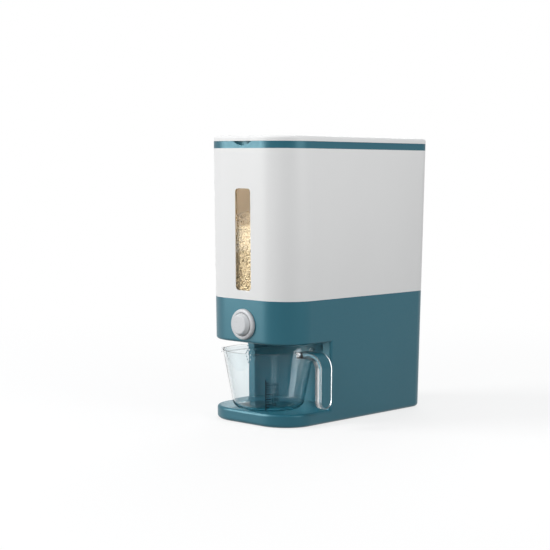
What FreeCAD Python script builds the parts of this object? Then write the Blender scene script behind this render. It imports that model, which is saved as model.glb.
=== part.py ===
import FreeCAD, Part
import Sketcher
import math
import os
import re

# Push-button rice dispenser: a tapered storage tank stands on a lower housing whose open niche
# holds a clear measuring cup. Millimetres, +Z up, front towards -Y, origin on the resting plane
# under the middle of the body.

Vector = FreeCAD.Vector
doc = FreeCAD.newDocument("rice_dispenser")

SIZES = {
    # body: width, depth and inward draft of the tapered outline
    "body_width": 158.7,
    "body_depth": 303.2,
    "draft_height": 376.0,
    "side_draft": 2.46,
    "end_draft": 7.19,
    "front_radius": 46.0,
    "rear_radius": 20.0,
    "wall": 2.6,
    "fit_gap": 0.3,
    "slack": 1.0,
    # heights of the outer joints
    "foot_height": 0.6,
    "niche_height": 90.7,
    "button_rise": 24.5,
    "seam_rise": 33.0,
    "tank_height": 198.0,
    "collar_height": 9.2,
    "lid_gap": 0.2,
    "lid_height": 7.3,
    "base_edge_radius": 5.0,
    "rim_width": 7.0,
    "rim_height": 6.0,
    "lid_edge_radius": 3.5,
    # niche for the measuring cup
    "platform_height": 18.3,
    "niche_depth": 91.6,
    "cup_clearance": 12.0,
    "cup_inset": 53.6,
    "niche_edge_radius": 3.5,
    # bottom cover, feet and screw bosses
    "cover_recess": 0.8,
    "cover_thickness": 2.4,
    "cover_counterbore": 1.0,
    "cover_screw_inset": 17.35,
    "cover_screw_end": 41.6,
    "boss_reach": 6.0,
    "foot_radius": 8.0,
    "foot_inset": 33.35,
    "foot_end": 33.6,
    "screw_radius": 1.5,
    "screw_head_radius": 2.9,
    "screw_head_height": 1.8,
    "screw_length": 9.0,
    "thread_gap": 0.02,
    "recess_width": 0.8,
    "recess_depth": 1.0,
    # tank fixing
    "lip_height": 6.0,
    "lip_thickness": 1.8,
    "lip_root": 1.5,
    "tank_tab_gap": 0.3,
    "tank_tab_thickness": 3.5,
    "tank_boss_drop": 13.0,
    "tank_screw_inset": 15.35,
    "tank_screw_front_end": 71.6,
    "tank_screw_rear_end": 31.6,
    # window
    "window_width": 27.4,
    "window_rise": 11.5,
    "window_drop": 52.5,
    "window_radius": 5.0,
    "pane_recess": 0.9,
    "pane_gap": 0.2,
    "pane_flange": 3.0,
    "pane_flange_thickness": 1.6,
    "seal_thickness": 0.8,
    # hopper and throat
    "throat_width": 44.0,
    "throat_length": 9.0,
    "throat_rise": 11.5,
    "hopper_reach": 290.0,
    "front_slope": 0.70,
    "side_slope": 1.0,
    "rear_slope": 0.55,
    "hopper_thickness": 3.0,
    "spout_wall": 2.4,
    "flange_thickness": 2.4,
    "flange_margin": 10.0,
    # collar
    "collar_width": 9.0,
    "collar_web": 2.5,
    "skirt_height": 8.0,
    "skirt_thickness": 2.0,
    "scoop_width": 33.0,
    "scoop_depth": 5.5,
    "scoop_drop": 5.6,
    # lid
    "lid_wall": 2.4,
    "plug_gap": 0.5,
    "plug_depth": 7.9,
    "plug_wall": 2.0,
    "gasket_height": 2.0,
    "gasket_bite": 1.2,
    "gasket_rise": 3.0,
    # hinge
    "hinge_offset": 5.3,
    "knuckle_radius": 4.2,
    "knuckle_width": 8.0,
    "lid_knuckle_width": 13.4,
    "hinge_inset": 34.35,
    "pin_radius": 1.5,
    "pin_clearance": 0.05,
    "ear_root": 3.0,
    "ear_height": 7.0,
    "arm_height": 4.6,
    # push button
    "button_proud": 9.8,
    "bezel_radius": 20.3,
    "bezel_proud": 4.3,
    "bezel_seat": 1.1,
    "bezel_round": 2.6,
    "bore_radius": 15.3,
    "bore_gap": 0.4,
    "sleeve_wall": 2.0,
    "sleeve_length": 8.7,
    "cap_face_radius": 12.2,
    "cap_shoulder": 5.0,
    "cap_wall": 2.0,
    "cap_flange_radius": 17.0,
    "cap_flange_thickness": 2.0,
    "cap_boss_wall": 2.2,
    "cap_round": 2.0,
    # push rod and shutter
    "rod_radius": 4.0,
    "rod_seat": 10.0,
    "fork_depth": 6.5,
    "rod_seat_gap": 0.1,
    "rod_room": 1.2,
    "rod_pin_radius": 1.25,
    "rod_pin_inset": 0.4,
    "shutter_margin": 8.0,
    "shutter_thickness": 3.0,
    "shutter_lap": 1.0,
    "shutter_front": 5.5,
    "shutter_rear": 33.5,
    "tongue_width": 8.0,
    "tongue_length": 6.0,
    "spigot_width": 5.0,
    "spigot_length": 5.0,
    # valve housing
    "guide_gap": 0.3,
    "deck_thickness": 2.4,
    "housing_wall": 3.7,
    "ear_width": 12.0,
    "ear_depth": 10.0,
    "ear_thickness": 2.4,
    "ear_lift": 6.0,
    "ear_screw_inset": 6.0,
    # spring
    "spring_radius": 4.0,
    "spring_wire": 0.45,
    "spring_pitch": 4.0,
    "spring_length": 27.4,
    "guide_pin_radius": 2.0,
    "guide_pin_length": 11.0,
    # outlet chute
    "chute_catch": 4.0,
    "chute_spread": 11.0,
    "chute_width": 34.0,
    "chute_depth": 18.0,
    "chute_wall": 1.8,
    "chute_drop": 5.5,
    "chute_flange": 5.0,
    "chute_flange_thickness": 2.0,
    # measuring cup
    "cup_rim_radius": 62.0,
    "cup_foot_radius": 46.5,
    "cup_headroom": 12.7,
    "cup_wall": 2.2,
    "cup_floor": 2.8,
    "cup_foot_round": 11.0,
    "cup_floor_round": 9.0,
    # handle
    "grip_gap": 31.0,
    "handle_thickness": 9.5,
    "handle_width": 23.0,
    "handle_rise": 2.0,
    "handle_arm": 8.0,
    "handle_bottom": 8.5,
    "handle_corner": 20.0,
    "handle_tip_flat": 1.0,
    "handle_edge_round": 1.0,
    "insert_width": 18.6,
    "insert_thickness": 3.0,
    "insert_lead": 13.0,
    "insert_end": 10.7,
    # strainer
    "strainer_thickness": 1.6,
    "strainer_offset": 45.0,
    "strainer_depth": 36.0,
    "strainer_lean": 13.5,
    "strainer_bar": 3.2,
    "strainer_bar_height": 4.0,
    "strainer_hole_radius": 1.3,
    "strainer_pitch_across": 5.94,
    "strainer_pitch_down": 5.06,
    "strainer_first_row": 2.75,
    "strainer_rays": 13.0,
    "strainer_rings": 5.0,
    "hook_angle": 41.5,
    "hook_width": 7.0,
    "hook_thickness": 1.6,
    "hook_drop": 4.5,
    "hook_spread": 0.6,
}

# Places and sizes that follow from others.
LINKS = {
    "niche_ceiling": "platform_height + niche_height",
    "button_height": "platform_height + niche_height + button_rise",
    "seam_height": "platform_height + niche_height + button_rise + seam_rise",
    "throat_height": "platform_height + niche_height + button_rise + throat_rise",
    "collar_bottom": "seam_height + tank_height",
    "collar_top": "seam_height + tank_height + collar_height",
    "lid_top": "seam_height + tank_height + collar_height + lid_height",
    "window_bottom": "seam_height + window_rise",
    "window_top": "seam_height + tank_height - window_drop",
    "cup_centre": "cup_inset - body_depth / 2",
    "niche_rear": "niche_depth - body_depth / 2",
    "pocket_radius": "cup_rim_radius + cup_clearance",
    "cup_height": "niche_height - cup_headroom",
    "handle_top": "niche_height - cup_headroom + handle_rise",
    "handle_reach": "cup_rim_radius + grip_gap + handle_thickness",
    "insert_start": "cup_rim_radius + grip_gap + handle_thickness - handle_corner - insert_lead",
    "chute_bottom": "platform_height + niche_height - chute_drop",
    "chute_top_width": "throat_width + 2 * chute_catch",
    "chute_top_depth": "throat_length + chute_spread",
    "shutter_width": "throat_width + 2 * shutter_margin",
    "button_travel": "throat_length + shutter_lap",
    "cover_screw_x": "body_width / 2 - cover_screw_inset",
    "cover_screw_y": "body_depth / 2 - cover_screw_end",
    "foot_x": "body_width / 2 - foot_inset",
    "foot_y": "body_depth / 2 - foot_end",
    "tank_screw_x": "body_width / 2 - tank_screw_inset",
    "tank_screw_front": "tank_screw_front_end - body_depth / 2",
    "tank_screw_rear": "body_depth / 2 - tank_screw_rear_end",
    "hinge_spread": "body_width / 2 - hinge_inset",
}

sheet = doc.addObject("Spreadsheet::Sheet", "Sizes")
for row, (name, size) in enumerate(SIZES.items(), start=1):
    sheet.set("A%d" % row, name)
    sheet.set("B%d" % row, str(size))
    sheet.setAlias("B%d" % row, name)
doc.recompute()
for row, (name, text) in enumerate(LINKS.items(), start=len(SIZES) + 1):
    sheet.set("A%d" % row, name)
    sheet.set("B%d" % row, "=" + text)
    sheet.setAlias("B%d" % row, name)
    doc.recompute()
NAMES = set(SIZES) | set(LINKS)

WORD = re.compile(r"[a-z][a-z_]*[a-z]")


def formula(text):
    """The text as an expression, with each size's name led by the name of the sheet."""
    return WORD.sub(lambda word: "Sizes." + word.group() if word.group() in NAMES else word.group(), text)


def number(text):
    """The value of the text, worked out with the sizes in the sheet."""
    filled = WORD.sub(
        lambda word: "(%r)" % sheet.get(word.group()) if word.group() in NAMES else word.group(), text
    )
    return FreeCAD.Units.Quantity(filled).Value


def bind(item, prop, text):
    """Tie one property of an object to a formula of sizes."""
    item.setExpression(prop, formula(text))


def place(item, x="0", y="0", z="0", axis=None, angle=0.0):
    """Put an object at a point given by formulas, turned about an axis."""
    turn = FreeCAD.Rotation(axis, angle) if axis else FreeCAD.Rotation()
    item.Placement = FreeCAD.Placement(Vector(number(x), number(y), number(z)), turn)
    bind(item, ".Placement.Base.x", x)
    bind(item, ".Placement.Base.y", y)
    bind(item, ".Placement.Base.z", z)
    return item


# ---- sketches and features -------------------------------------------------------------------


def new_body(name):
    return doc.addObject("PartDesign::Body", name)


def new_sketch(body, name, role, offset="0", shift_y="0"):
    """A sketch on one of the body's origin planes, moved along its normal and up its Y axis."""
    sketch = body.newObject("Sketcher::SketchObject", name)
    plane = [feature for feature in body.Origin.OriginFeatures if feature.Role == role][0]
    sketch.AttachmentSupport = [(plane, "")]
    sketch.MapMode = "FlatFace"
    sketch.AttachmentOffset = FreeCAD.Placement(
        Vector(0, number(shift_y), number(offset)), FreeCAD.Rotation()
    )
    bind(sketch, ".AttachmentOffset.Base.z", offset)
    bind(sketch, ".AttachmentOffset.Base.y", shift_y)
    return sketch


def fix_point(sketch, curve, end, x, y):
    """Hold a point of a curve at two formulas, measured from the sketch's origin."""
    for kind, text in (("DistanceX", x), ("DistanceY", y)):
        index = sketch.addConstraint(Sketcher.Constraint(kind, -1, 1, curve, end, number(text)))
        bind(sketch, "Constraints[%d]" % index, text)


def fix_value(sketch, kind, curve, text):
    """Hold a curve's radius at a formula."""
    index = sketch.addConstraint(Sketcher.Constraint(kind, curve, number(text)))
    bind(sketch, "Constraints[%d]" % index, text)


def draw_polygon(sketch, points):
    """A closed outline of straight lines through points given by pairs of formulas."""
    places = [Vector(number(x), number(y), 0) for x, y in points]
    first = sketch.GeometryCount
    count = len(points)
    for i in range(count):
        sketch.addGeometry(Part.LineSegment(places[i], places[(i + 1) % count]), False)
    for i in range(count):
        sketch.addConstraint(Sketcher.Constraint("Coincident", first + i, 2, first + (i + 1) % count, 1))
        fix_point(sketch, first + i, 1, points[i][0], points[i][1])


def draw_rectangle(sketch, left, right, low, high):
    draw_polygon(sketch, [(left, low), (right, low), (right, high), (left, high)])


def draw_circle(sketch, x, y, radius):
    circle = sketch.addGeometry(
        Part.Circle(Vector(number(x), number(y), 0), Vector(0, 0, 1), number(radius)), False
    )
    fix_point(sketch, circle, 3, x, y)
    fix_value(sketch, "Radius", circle, radius)


def draw_rounded(sketch, left, right, low, high, low_radius, high_radius):
    """A rectangle with round corners, of one radius along its low edge and one along its high edge."""
    x0, x1, y0, y1 = number(left), number(right), number(low), number(high)
    a, b = number(low_radius), number(high_radius)
    up = Vector(0, 0, 1)
    turn = math.pi / 2
    curves = [
        Part.LineSegment(Vector(x0 + a, y0, 0), Vector(x1 - a, y0, 0)),
        Part.ArcOfCircle(Part.Circle(Vector(x1 - a, y0 + a, 0), up, a), 3 * turn, 4 * turn),
        Part.LineSegment(Vector(x1, y0 + a, 0), Vector(x1, y1 - b, 0)),
        Part.ArcOfCircle(Part.Circle(Vector(x1 - b, y1 - b, 0), up, b), 0, turn),
        Part.LineSegment(Vector(x1 - b, y1, 0), Vector(x0 + b, y1, 0)),
        Part.ArcOfCircle(Part.Circle(Vector(x0 + b, y1 - b, 0), up, b), turn, 2 * turn),
        Part.LineSegment(Vector(x0, y1 - b, 0), Vector(x0, y0 + a, 0)),
        Part.ArcOfCircle(Part.Circle(Vector(x0 + a, y0 + a, 0), up, a), 2 * turn, 3 * turn),
    ]
    first = sketch.GeometryCount
    sketch.addGeometry(curves, False)
    count = len(curves)
    for i in range(count):
        sketch.addConstraint(Sketcher.Constraint("Tangent", first + i, 2, first + (i + 1) % count, 1))
    for i in (0, 4):
        sketch.addConstraint(Sketcher.Constraint("Horizontal", first + i))
    for i in (2, 6):
        sketch.addConstraint(Sketcher.Constraint("Vertical", first + i))
    for i, text in ((1, low_radius), (3, high_radius), (5, high_radius), (7, low_radius)):
        fix_value(sketch, "Radius", first + i, text)
    for i, kind, text in (
        (0, "DistanceY", low),
        (2, "DistanceX", right),
        (4, "DistanceY", high),
        (6, "DistanceX", left),
    ):
        index = sketch.addConstraint(Sketcher.Constraint(kind, -1, 1, first + i, 1, number(text)))
        bind(sketch, "Constraints[%d]" % index, text)


def loft(body, name, low, high, subtract=False):
    kind = "PartDesign::SubtractiveLoft" if subtract else "PartDesign::AdditiveLoft"
    feature = body.newObject(kind, name)
    feature.Profile = low
    feature.Sections = [high]
    feature.Ruled = True
    doc.recompute()
    return feature


def pad(body, sketch, length, symmetric=False):
    feature = body.newObject("PartDesign::Pad", sketch.Name + "_pad")
    feature.Profile = sketch
    feature.SideType = "Symmetric" if symmetric else "One side"
    bind(feature, "Length", length)
    doc.recompute()
    return feature


def pocket(body, sketch, length, symmetric=False, along_normal=False):
    """Cut a sketch into the body: against its plane's normal, along it, or both ways."""
    feature = body.newObject("PartDesign::Pocket", sketch.Name + "_cut")
    feature.Profile = sketch
    feature.SideType = "Symmetric" if symmetric else "One side"
    feature.Reversed = along_normal
    bind(feature, "Length", length)
    before = feature.BaseFeature.Shape.Volume
    doc.recompute()
    if not feature.Shape.Volume < before:
        raise RuntimeError("%s cuts nothing" % feature.Name)
    return feature


def turned(body, sketch, axis, subtract=False):
    """A full turn of a sketch about its own horizontal or vertical axis."""
    kind = "PartDesign::Groove" if subtract else "PartDesign::Revolution"
    feature = body.newObject(kind, sketch.Name + "_turn")
    feature.Profile = sketch
    feature.ReferenceAxis = (sketch, [axis])
    feature.Angle = 360
    doc.recompute()
    return feature


def round_edges(body, name, radius, wanted):
    """Fillet the body's edges that the test picks out, by a radius from the sheet."""
    doc.recompute()
    base = body.Tip
    names = ["Edge%d" % (i + 1) for i, edge in enumerate(base.Shape.Edges) if wanted(edge)]
    if not names:
        raise RuntimeError("%s finds no edge" % name)
    feature = body.newObject("PartDesign::Fillet", name)
    feature.Base = (base, names)
    bind(feature, "Radius", radius)
    doc.recompute()
    return feature


def middle(edge):
    return edge.valueAt((edge.FirstParameter + edge.LastParameter) / 2)


def flat_at(edge, height):
    """Whether an edge lies all along one height."""
    return abs(edge.BoundBox.ZMin - height) < 1e-3 and abs(edge.BoundBox.ZMax - height) < 1e-3


# ---- plain solids and booleans ---------------------------------------------------------------


def box(name, x, y, z):
    """A block between pairs of formulas along X, Y and Z."""
    block = doc.addObject("Part::Box", name)
    for prop, (low, high) in zip(("Length", "Width", "Height"), (x, y, z)):
        bind(block, prop, "(%s) - (%s)" % (high, low))
    return place(block, x[0], y[0], z[0])


def rod(name, radius, length, x, y, z, direction="Z"):
    """A cylinder that starts at a point and runs along +X, +Y or +Z."""
    turns = {"X": (Vector(0, 1, 0), 90), "Y": (Vector(1, 0, 0), -90), "Z": (None, 0)}
    cylinder = doc.addObject("Part::Cylinder", name)
    bind(cylinder, "Radius", radius)
    bind(cylinder, "Height", length)
    return place(cylinder, x, y, z, *turns[direction])


def join(name, shapes):
    """One fused object of several."""
    if len(shapes) == 1:
        return shapes[0]
    fused = doc.addObject("Part::MultiFuse", name)
    fused.Shapes = shapes
    return fused


def cut(name, base, *tools):
    """The base with every tool taken away."""
    result = doc.addObject("Part::Cut", name)
    result.Base = base
    result.Tool = join(name + "_tools", list(tools))
    return result


def group(name, members):
    """Separate solids kept together in one object."""
    compound = doc.addObject("Part::Compound", name)
    compound.Links = members
    return compound


def screw(name, x, y, z, upward, length="screw_length"):
    """A pan-head screw with a cross recess: its head's seat is at z, and its shank runs up or down."""
    head_z = "(%s) - screw_head_height" % z if upward else z
    shank_z = z if upward else "(%s) - (%s)" % (z, length)
    low = "(%s) - slack" % head_z if upward else "(%s) + screw_head_height - recess_depth" % head_z
    head = rod(name + "_head", "screw_head_radius", "screw_head_height", x, y, head_z)
    shank = rod(name + "_shank", "screw_radius", length, x, y, shank_z)
    body = join(name + "_solid", [head, shank])
    deep = ("(%s)" % low, "(%s) + slack + recess_depth" % low)
    long_way = ("(%s) - screw_radius" % x, "(%s) + screw_radius" % x)
    short_way = ("(%s) - recess_width / 2" % x, "(%s) + recess_width / 2" % x)
    long_side = ("(%s) - screw_radius" % y, "(%s) + screw_radius" % y)
    short_side = ("(%s) - recess_width / 2" % y, "(%s) + recess_width / 2" % y)
    slots = [
        box(name + "_slot_x", long_way, short_side, deep), box(name + "_slot_y", short_way, long_side, deep)
    ]
    return cut(name, body, *slots)


# ---- the tapered outline shared by the body's shells -----------------------------------------


def half_width(z, inset="0"):
    return "(body_width / 2 - side_draft * (1 - (%s) / draft_height) - (%s))" % (z, inset)


def half_depth(z, inset="0"):
    return "(body_depth / 2 - end_draft * (1 - (%s) / draft_height) - (%s))" % (z, inset)


def outline(body, name, z, inset="0"):
    """The body's plan at a height, moved inwards by an inset."""
    sketch = new_sketch(body, name, "XY_Plane", z)
    across, along = half_width(z, inset), half_depth(z, inset)
    front, rear = "front_radius - (%s)" % inset, "rear_radius - (%s)" % inset
    draw_rounded(sketch, "-" + across, across, "-" + along, along, front, rear)
    return sketch


def taper(body, name, low, high, inset="0", subtract=False):
    """A block of the body's tapered outline between two heights, added or cut away."""
    return loft(
        body,
        name,
        outline(body, name + "_low", low, inset),
        outline(body, name + "_high", high, inset),
        subtract,
    )


SIDES = (("right", ""), ("left", "-"))

# ---- lower housing ---------------------------------------------------------------------------

CEILING_TOP = "(niche_ceiling + wall)"
COVER_BOTTOM = "(foot_height + cover_recess)"
COVER_TOP = "(foot_height + cover_recess + cover_thickness)"
TAB_TOP = "(seam_height - tank_boss_drop - tank_tab_gap)"
TAB_BOTTOM = "(seam_height - tank_boss_drop - tank_tab_gap - tank_tab_thickness)"
FACE = "-" + half_depth("button_height")
SEAT = "(%s + bezel_seat)" % FACE
EAR_TOP = "(niche_ceiling + wall + ear_lift + ear_thickness)"
TANK_SCREWS = [
    (side + "_" + end, sign + "tank_screw_x", "tank_screw_" + end)
    for side, sign in SIDES
    for end in ("front", "rear")
]
COVER_SCREWS = [
    (side + "_" + end, sign + "cover_screw_x", turn + "cover_screw_y")
    for side, sign in SIDES
    for end, turn in (("front", "-"), ("rear", ""))
]

CHANNEL_HALF = "(shutter_width / 2 + guide_gap)"
HOUSING_HALF = "(shutter_width / 2 + guide_gap + housing_wall)"
SLOT_FRONT = "(cup_centre - button_travel - throat_length / 2)"
PLATE_FRONT = "(cup_centre - button_travel - throat_length / 2 - shutter_front)"
PLATE_REAR = "(cup_centre - button_travel + throat_length / 2 + shutter_rear)"
HOUSING_FRONT = "(cup_centre - button_travel - throat_length / 2 - shutter_front - tongue_length)"
SPRING_REAR = (
    "(cup_centre - button_travel + throat_length / 2 + shutter_rear + spring_length"
    " + 2 * guide_gap)"
)
HOUSING_REAR = "(%s + deck_thickness)" % SPRING_REAR
CHANNEL_LOW = "(button_height - shutter_thickness / 2 - guide_gap)"
CHANNEL_HIGH = "(button_height + shutter_thickness / 2 + guide_gap)"
DECK_LOW = "(button_height - shutter_thickness / 2 - guide_gap - deck_thickness)"
DECK_HIGH = "(button_height + shutter_thickness / 2 + guide_gap + deck_thickness)"
EAR_X = "(shutter_width / 2 + guide_gap + housing_wall + ear_screw_inset)"
EAR_SCREWS = [
    (side + "_" + end, sign + EAR_X, spot)
    for side, sign in SIDES
    for end, spot in (
        ("front", "(%s + ear_depth / 2 + wall)" % HOUSING_FRONT),
        ("rear", "(%s - ear_depth / 2 - wall)" % HOUSING_REAR),
    )
]


RECESS = "(wall + bezel_proud)"
THREAD = "screw_radius + thread_gap"
CLEAR = "screw_radius + fit_gap"


def to_side(x, near, far):
    """The span from near to far on the right, or its mirror on the left where x is negative."""
    return ("-(%s)" % far, "-(%s)" % near) if x.startswith("-") else (near, far)


def around(y):
    """The span of a screw boss about its screw."""
    return (y + " - boss_reach", y + " + boss_reach")


def make_base_housing():
    """The coloured lower shell, with the niche for the cup open at the front and both sides."""
    outer = new_body("base_outer")
    taper(outer, "base_outer_block", "foot_height", "seam_height")
    opening = new_sketch(outer, "niche_opening", "YZ_Plane")
    draw_rectangle(opening, "-body_depth", "niche_rear", "platform_height", "niche_ceiling")
    pocket(outer, opening, "2 * body_width", symmetric=True)
    pocket_sketch = new_sketch(outer, "niche_pocket", "XY_Plane", "platform_height")
    draw_circle(pocket_sketch, "0", "cup_centre", "pocket_radius")
    pocket(outer, pocket_sketch, "niche_ceiling - platform_height", along_normal=True)
    foot = number("foot_height")
    round_edges(outer, "base_foot_round", "base_edge_radius", lambda edge: flat_at(edge, foot))
    platform, ceiling, rear = number("platform_height"), number("niche_ceiling"), number("niche_rear")
    nearly = number(half_width("platform_height")) - 2 * number("side_draft")
    front_zone = number("front_radius / 2") - number(half_depth("platform_height"))

    def on_niche_rim(edge):
        spot = middle(edge)
        level = flat_at(edge, platform) or flat_at(edge, ceiling)
        front_half = spot.y < rear - 1e-3
        inner = math.hypot(spot.x, spot.y - number("cup_centre")) < number("pocket_radius") + 1e-3
        straight_back = abs(edge.BoundBox.YMax - rear) < 1e-3 and abs(edge.BoundBox.YMin - rear) < 1e-3
        upright = straight_back and edge.BoundBox.ZLength > 1 and abs(spot.x) > nearly
        outer_side = abs(spot.x) > nearly or spot.y < front_zone or not inner
        return upright or (level and front_half and outer_side)

    round_edges(outer, "niche_rim_round", "niche_edge_radius", on_niche_rim)

    void = new_body("base_void")
    taper(void, "base_void_block", "foot_height + rim_height", "seam_height + slack", "wall")
    taper(void, "base_mouth_block", "foot_height - slack", "foot_height + rim_height + slack", "rim_width")
    keep = new_sketch(void, "niche_walls", "YZ_Plane")
    draw_rectangle(keep, "-body_depth", "niche_rear + wall", "platform_height - wall", "niche_ceiling + wall")
    pocket(void, keep, "2 * body_width", symmetric=True)
    keep_round = new_sketch(void, "pocket_walls", "XY_Plane", "platform_height - wall")
    draw_circle(keep_round, "0", "cup_centre", "pocket_radius + wall")
    pocket(void, keep_round, "niche_ceiling - platform_height + 2 * wall", along_normal=True)

    kept = []
    for end, x, y in COVER_SCREWS:
        reach = to_side(x, "cover_screw_x - boss_reach", "body_width")
        kept.append(box("cover_boss_" + end, reach, around(y), (COVER_TOP, "platform_height")))
    for end, x, y in TANK_SCREWS:
        reach = to_side(x, "tank_screw_x - boss_reach", "body_width")
        kept.append(box("tank_tab_" + end, reach, around(y), (TAB_BOTTOM, TAB_TOP)))
    for end, x, y in EAR_SCREWS:
        kept.append(rod("ear_boss_" + end, "ear_depth / 2", "ear_lift + wall", x, y, "niche_ceiling"))
    hollow = cut("base_hollow", void, *kept)

    holes = [
        rod(
            "bezel_recess",
            "bezel_radius + fit_gap",
            RECESS,
            "0",
            "(%s - %s)" % (SEAT, RECESS),
            "button_height",
            "Y",
        ),
        rod(
            "sleeve_hole", "bore_radius + sleeve_wall + fit_gap", "4 * wall", "0", FACE, "button_height", "Y"
        ),
        box(
            "chute_hole",
            ("-(chute_width / 2 + fit_gap)", "chute_width / 2 + fit_gap"),
            ("cup_centre - chute_depth / 2 - fit_gap", "cup_centre + chute_depth / 2 + fit_gap"),
            ("niche_ceiling - slack", CEILING_TOP + " + slack"),
        ),
    ]
    for end, x, y in COVER_SCREWS:
        holes.append(rod("cover_pilot_" + end, THREAD, "screw_length", x, y, COVER_TOP + " - slack"))
    for end, x, y in TANK_SCREWS:
        holes.append(
            rod("tank_pass_" + end, CLEAR, "tank_tab_thickness + 2 * slack", x, y, TAB_BOTTOM + " - slack")
        )
    for end, x, y in EAR_SCREWS:
        holes.append(rod("ear_pilot_" + end, THREAD, "ear_lift + slack", x, y, CEILING_TOP))
    shell = cut("base_shell", outer, hollow)
    return cut("base_housing", shell, *holes)


def make_bottom_cover():
    """The plate that closes the lower housing from below."""
    cover = new_body("cover_plate")
    taper(cover, "cover_block", COVER_BOTTOM, COVER_TOP, "rim_width + fit_gap")
    holes = []
    for end, x, y in COVER_SCREWS:
        below = COVER_BOTTOM + " - slack"
        holes.append(rod("cover_pass_" + end, CLEAR, "cover_thickness + 2 * slack", x, y, below))
        holes.append(
            rod("cover_sink_" + end, "screw_head_radius + fit_gap", "cover_counterbore + slack", x, y, below)
        )
    return cut("bottom_cover", cover, *holes)


def make_feet():
    feet = []
    for side, sign in SIDES:
        for end, turn in (("front", "-"), ("rear", "")):
            name = "foot_%s_%s" % (side, end)
            feet.append(rod(name, "foot_radius", COVER_BOTTOM, sign + "foot_x", turn + "foot_y", "0"))
    return group("rubber_feet", feet)


def make_cover_screws():
    seat = COVER_BOTTOM + " + cover_counterbore"
    return group(
        "cover_screws", [screw("cover_screw_" + end, x, y, seat, True) for end, x, y in COVER_SCREWS]
    )


# ---- storage tank ----------------------------------------------------------------------------


def make_tank_shell():
    """The white storage tank, open at both ends, with a lip that drops into the lower housing."""
    tank = new_body("tank_block")
    taper(tank, "tank_outer", "seam_height", "collar_bottom")
    taper(tank, "tank_lip", "seam_height - lip_height", "seam_height + slack", "wall + fit_gap")
    taper(tank, "tank_inner", "seam_height + lip_root", "collar_bottom + slack", "wall", subtract=True)
    bore = "wall + fit_gap + lip_thickness"
    taper(
        tank,
        "lip_bore",
        "seam_height - lip_height - slack",
        "seam_height + lip_root + slack",
        bore,
        subtract=True,
    )
    slot = new_sketch(tank, "window_slot", "XZ_Plane", "body_depth / 2 + wall")
    half = "window_width / 2"
    draw_rounded(slot, "-" + half, half, "window_bottom", "window_top", "window_radius", "window_radius")
    pocket(tank, slot, "end_draft + 4 * wall")
    bosses, pilots = [], []
    low = "seam_height - tank_boss_drop"
    for end, x, y in TANK_SCREWS:
        edge = half_width(low, "wall + fit_gap")
        reach = to_side(x, "tank_screw_x - boss_reach", edge)
        bosses.append(box("tank_boss_" + end, reach, around(y), (low, "seam_height + lip_root")))
        pilots.append(rod("tank_pilot_" + end, THREAD, "screw_length", x, y, low + " - slack"))
    return cut("tank_shell", join("tank_with_bosses", [tank] + bosses), *pilots)


def make_tank_screws():
    length = "screw_length + wall"
    screws = [screw("tank_screw_" + end, x, y, TAB_BOTTOM, True, length) for end, x, y in TANK_SCREWS]
    return group("tank_screws", screws)


def make_window():
    """The tinted pane in its slot, flanged behind the wall, and the thin seal under the flange."""
    middle_height = "((window_bottom + window_top) / 2)"
    half_height = "((window_top - window_bottom) / 2)"
    lean = math.degrees(math.atan(number("end_draft / draft_height")))
    flange = "wall + seal_thickness"

    def layer(body, name, grow, near, far):
        """A rounded plate that lies between two depths behind the tank's front face."""
        sketch = new_sketch(body, name, "XZ_Plane", "-(%s)" % near)
        across = "(window_width / 2 + (%s))" % grow
        up = "(%s + (%s))" % (half_height, grow)
        radius = "window_radius + (%s)" % grow
        draw_rounded(sketch, "-" + across, across, "-" + up, up, radius, radius)
        feature = pad(body, sketch, "(%s) - (%s)" % (far, near))
        feature.Reversed = True
        doc.recompute()

    pane = new_body("window_pane")
    layer(pane, "pane_plug", "-pane_gap", "pane_recess", flange + " + pane_flange_thickness / 2")
    layer(pane, "pane_flange_plate", "pane_flange", flange, flange + " + pane_flange_thickness")
    seal = new_body("window_seal")
    layer(seal, "seal_ring", "pane_flange", "wall", flange)
    hole = new_sketch(seal, "seal_hole", "XZ_Plane", "-wall")
    half = "window_width / 2"
    draw_rounded(hole, "-" + half, half, "-" + half_height, half_height, "window_radius", "window_radius")
    pocket(seal, hole, "2 * seal_thickness")
    for body in (pane, seal):
        place(body, "0", "-" + half_depth(middle_height), middle_height, Vector(1, 0, 0), lean)
    return [pane, seal]


HOPPER_SCREWS = [
    (side + "_" + end, sign + "(shutter_width / 2 + guide_gap + housing_wall / 2)", spot)
    for side, sign in SIDES
    for end, spot in (
        ("front", "(cup_centre - throat_length / 2 - flange_margin + screw_head_radius + fit_gap)"),
        ("rear", "(cup_centre + throat_length / 2 + flange_margin - screw_head_radius - fit_gap)"),
    )
]


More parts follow.
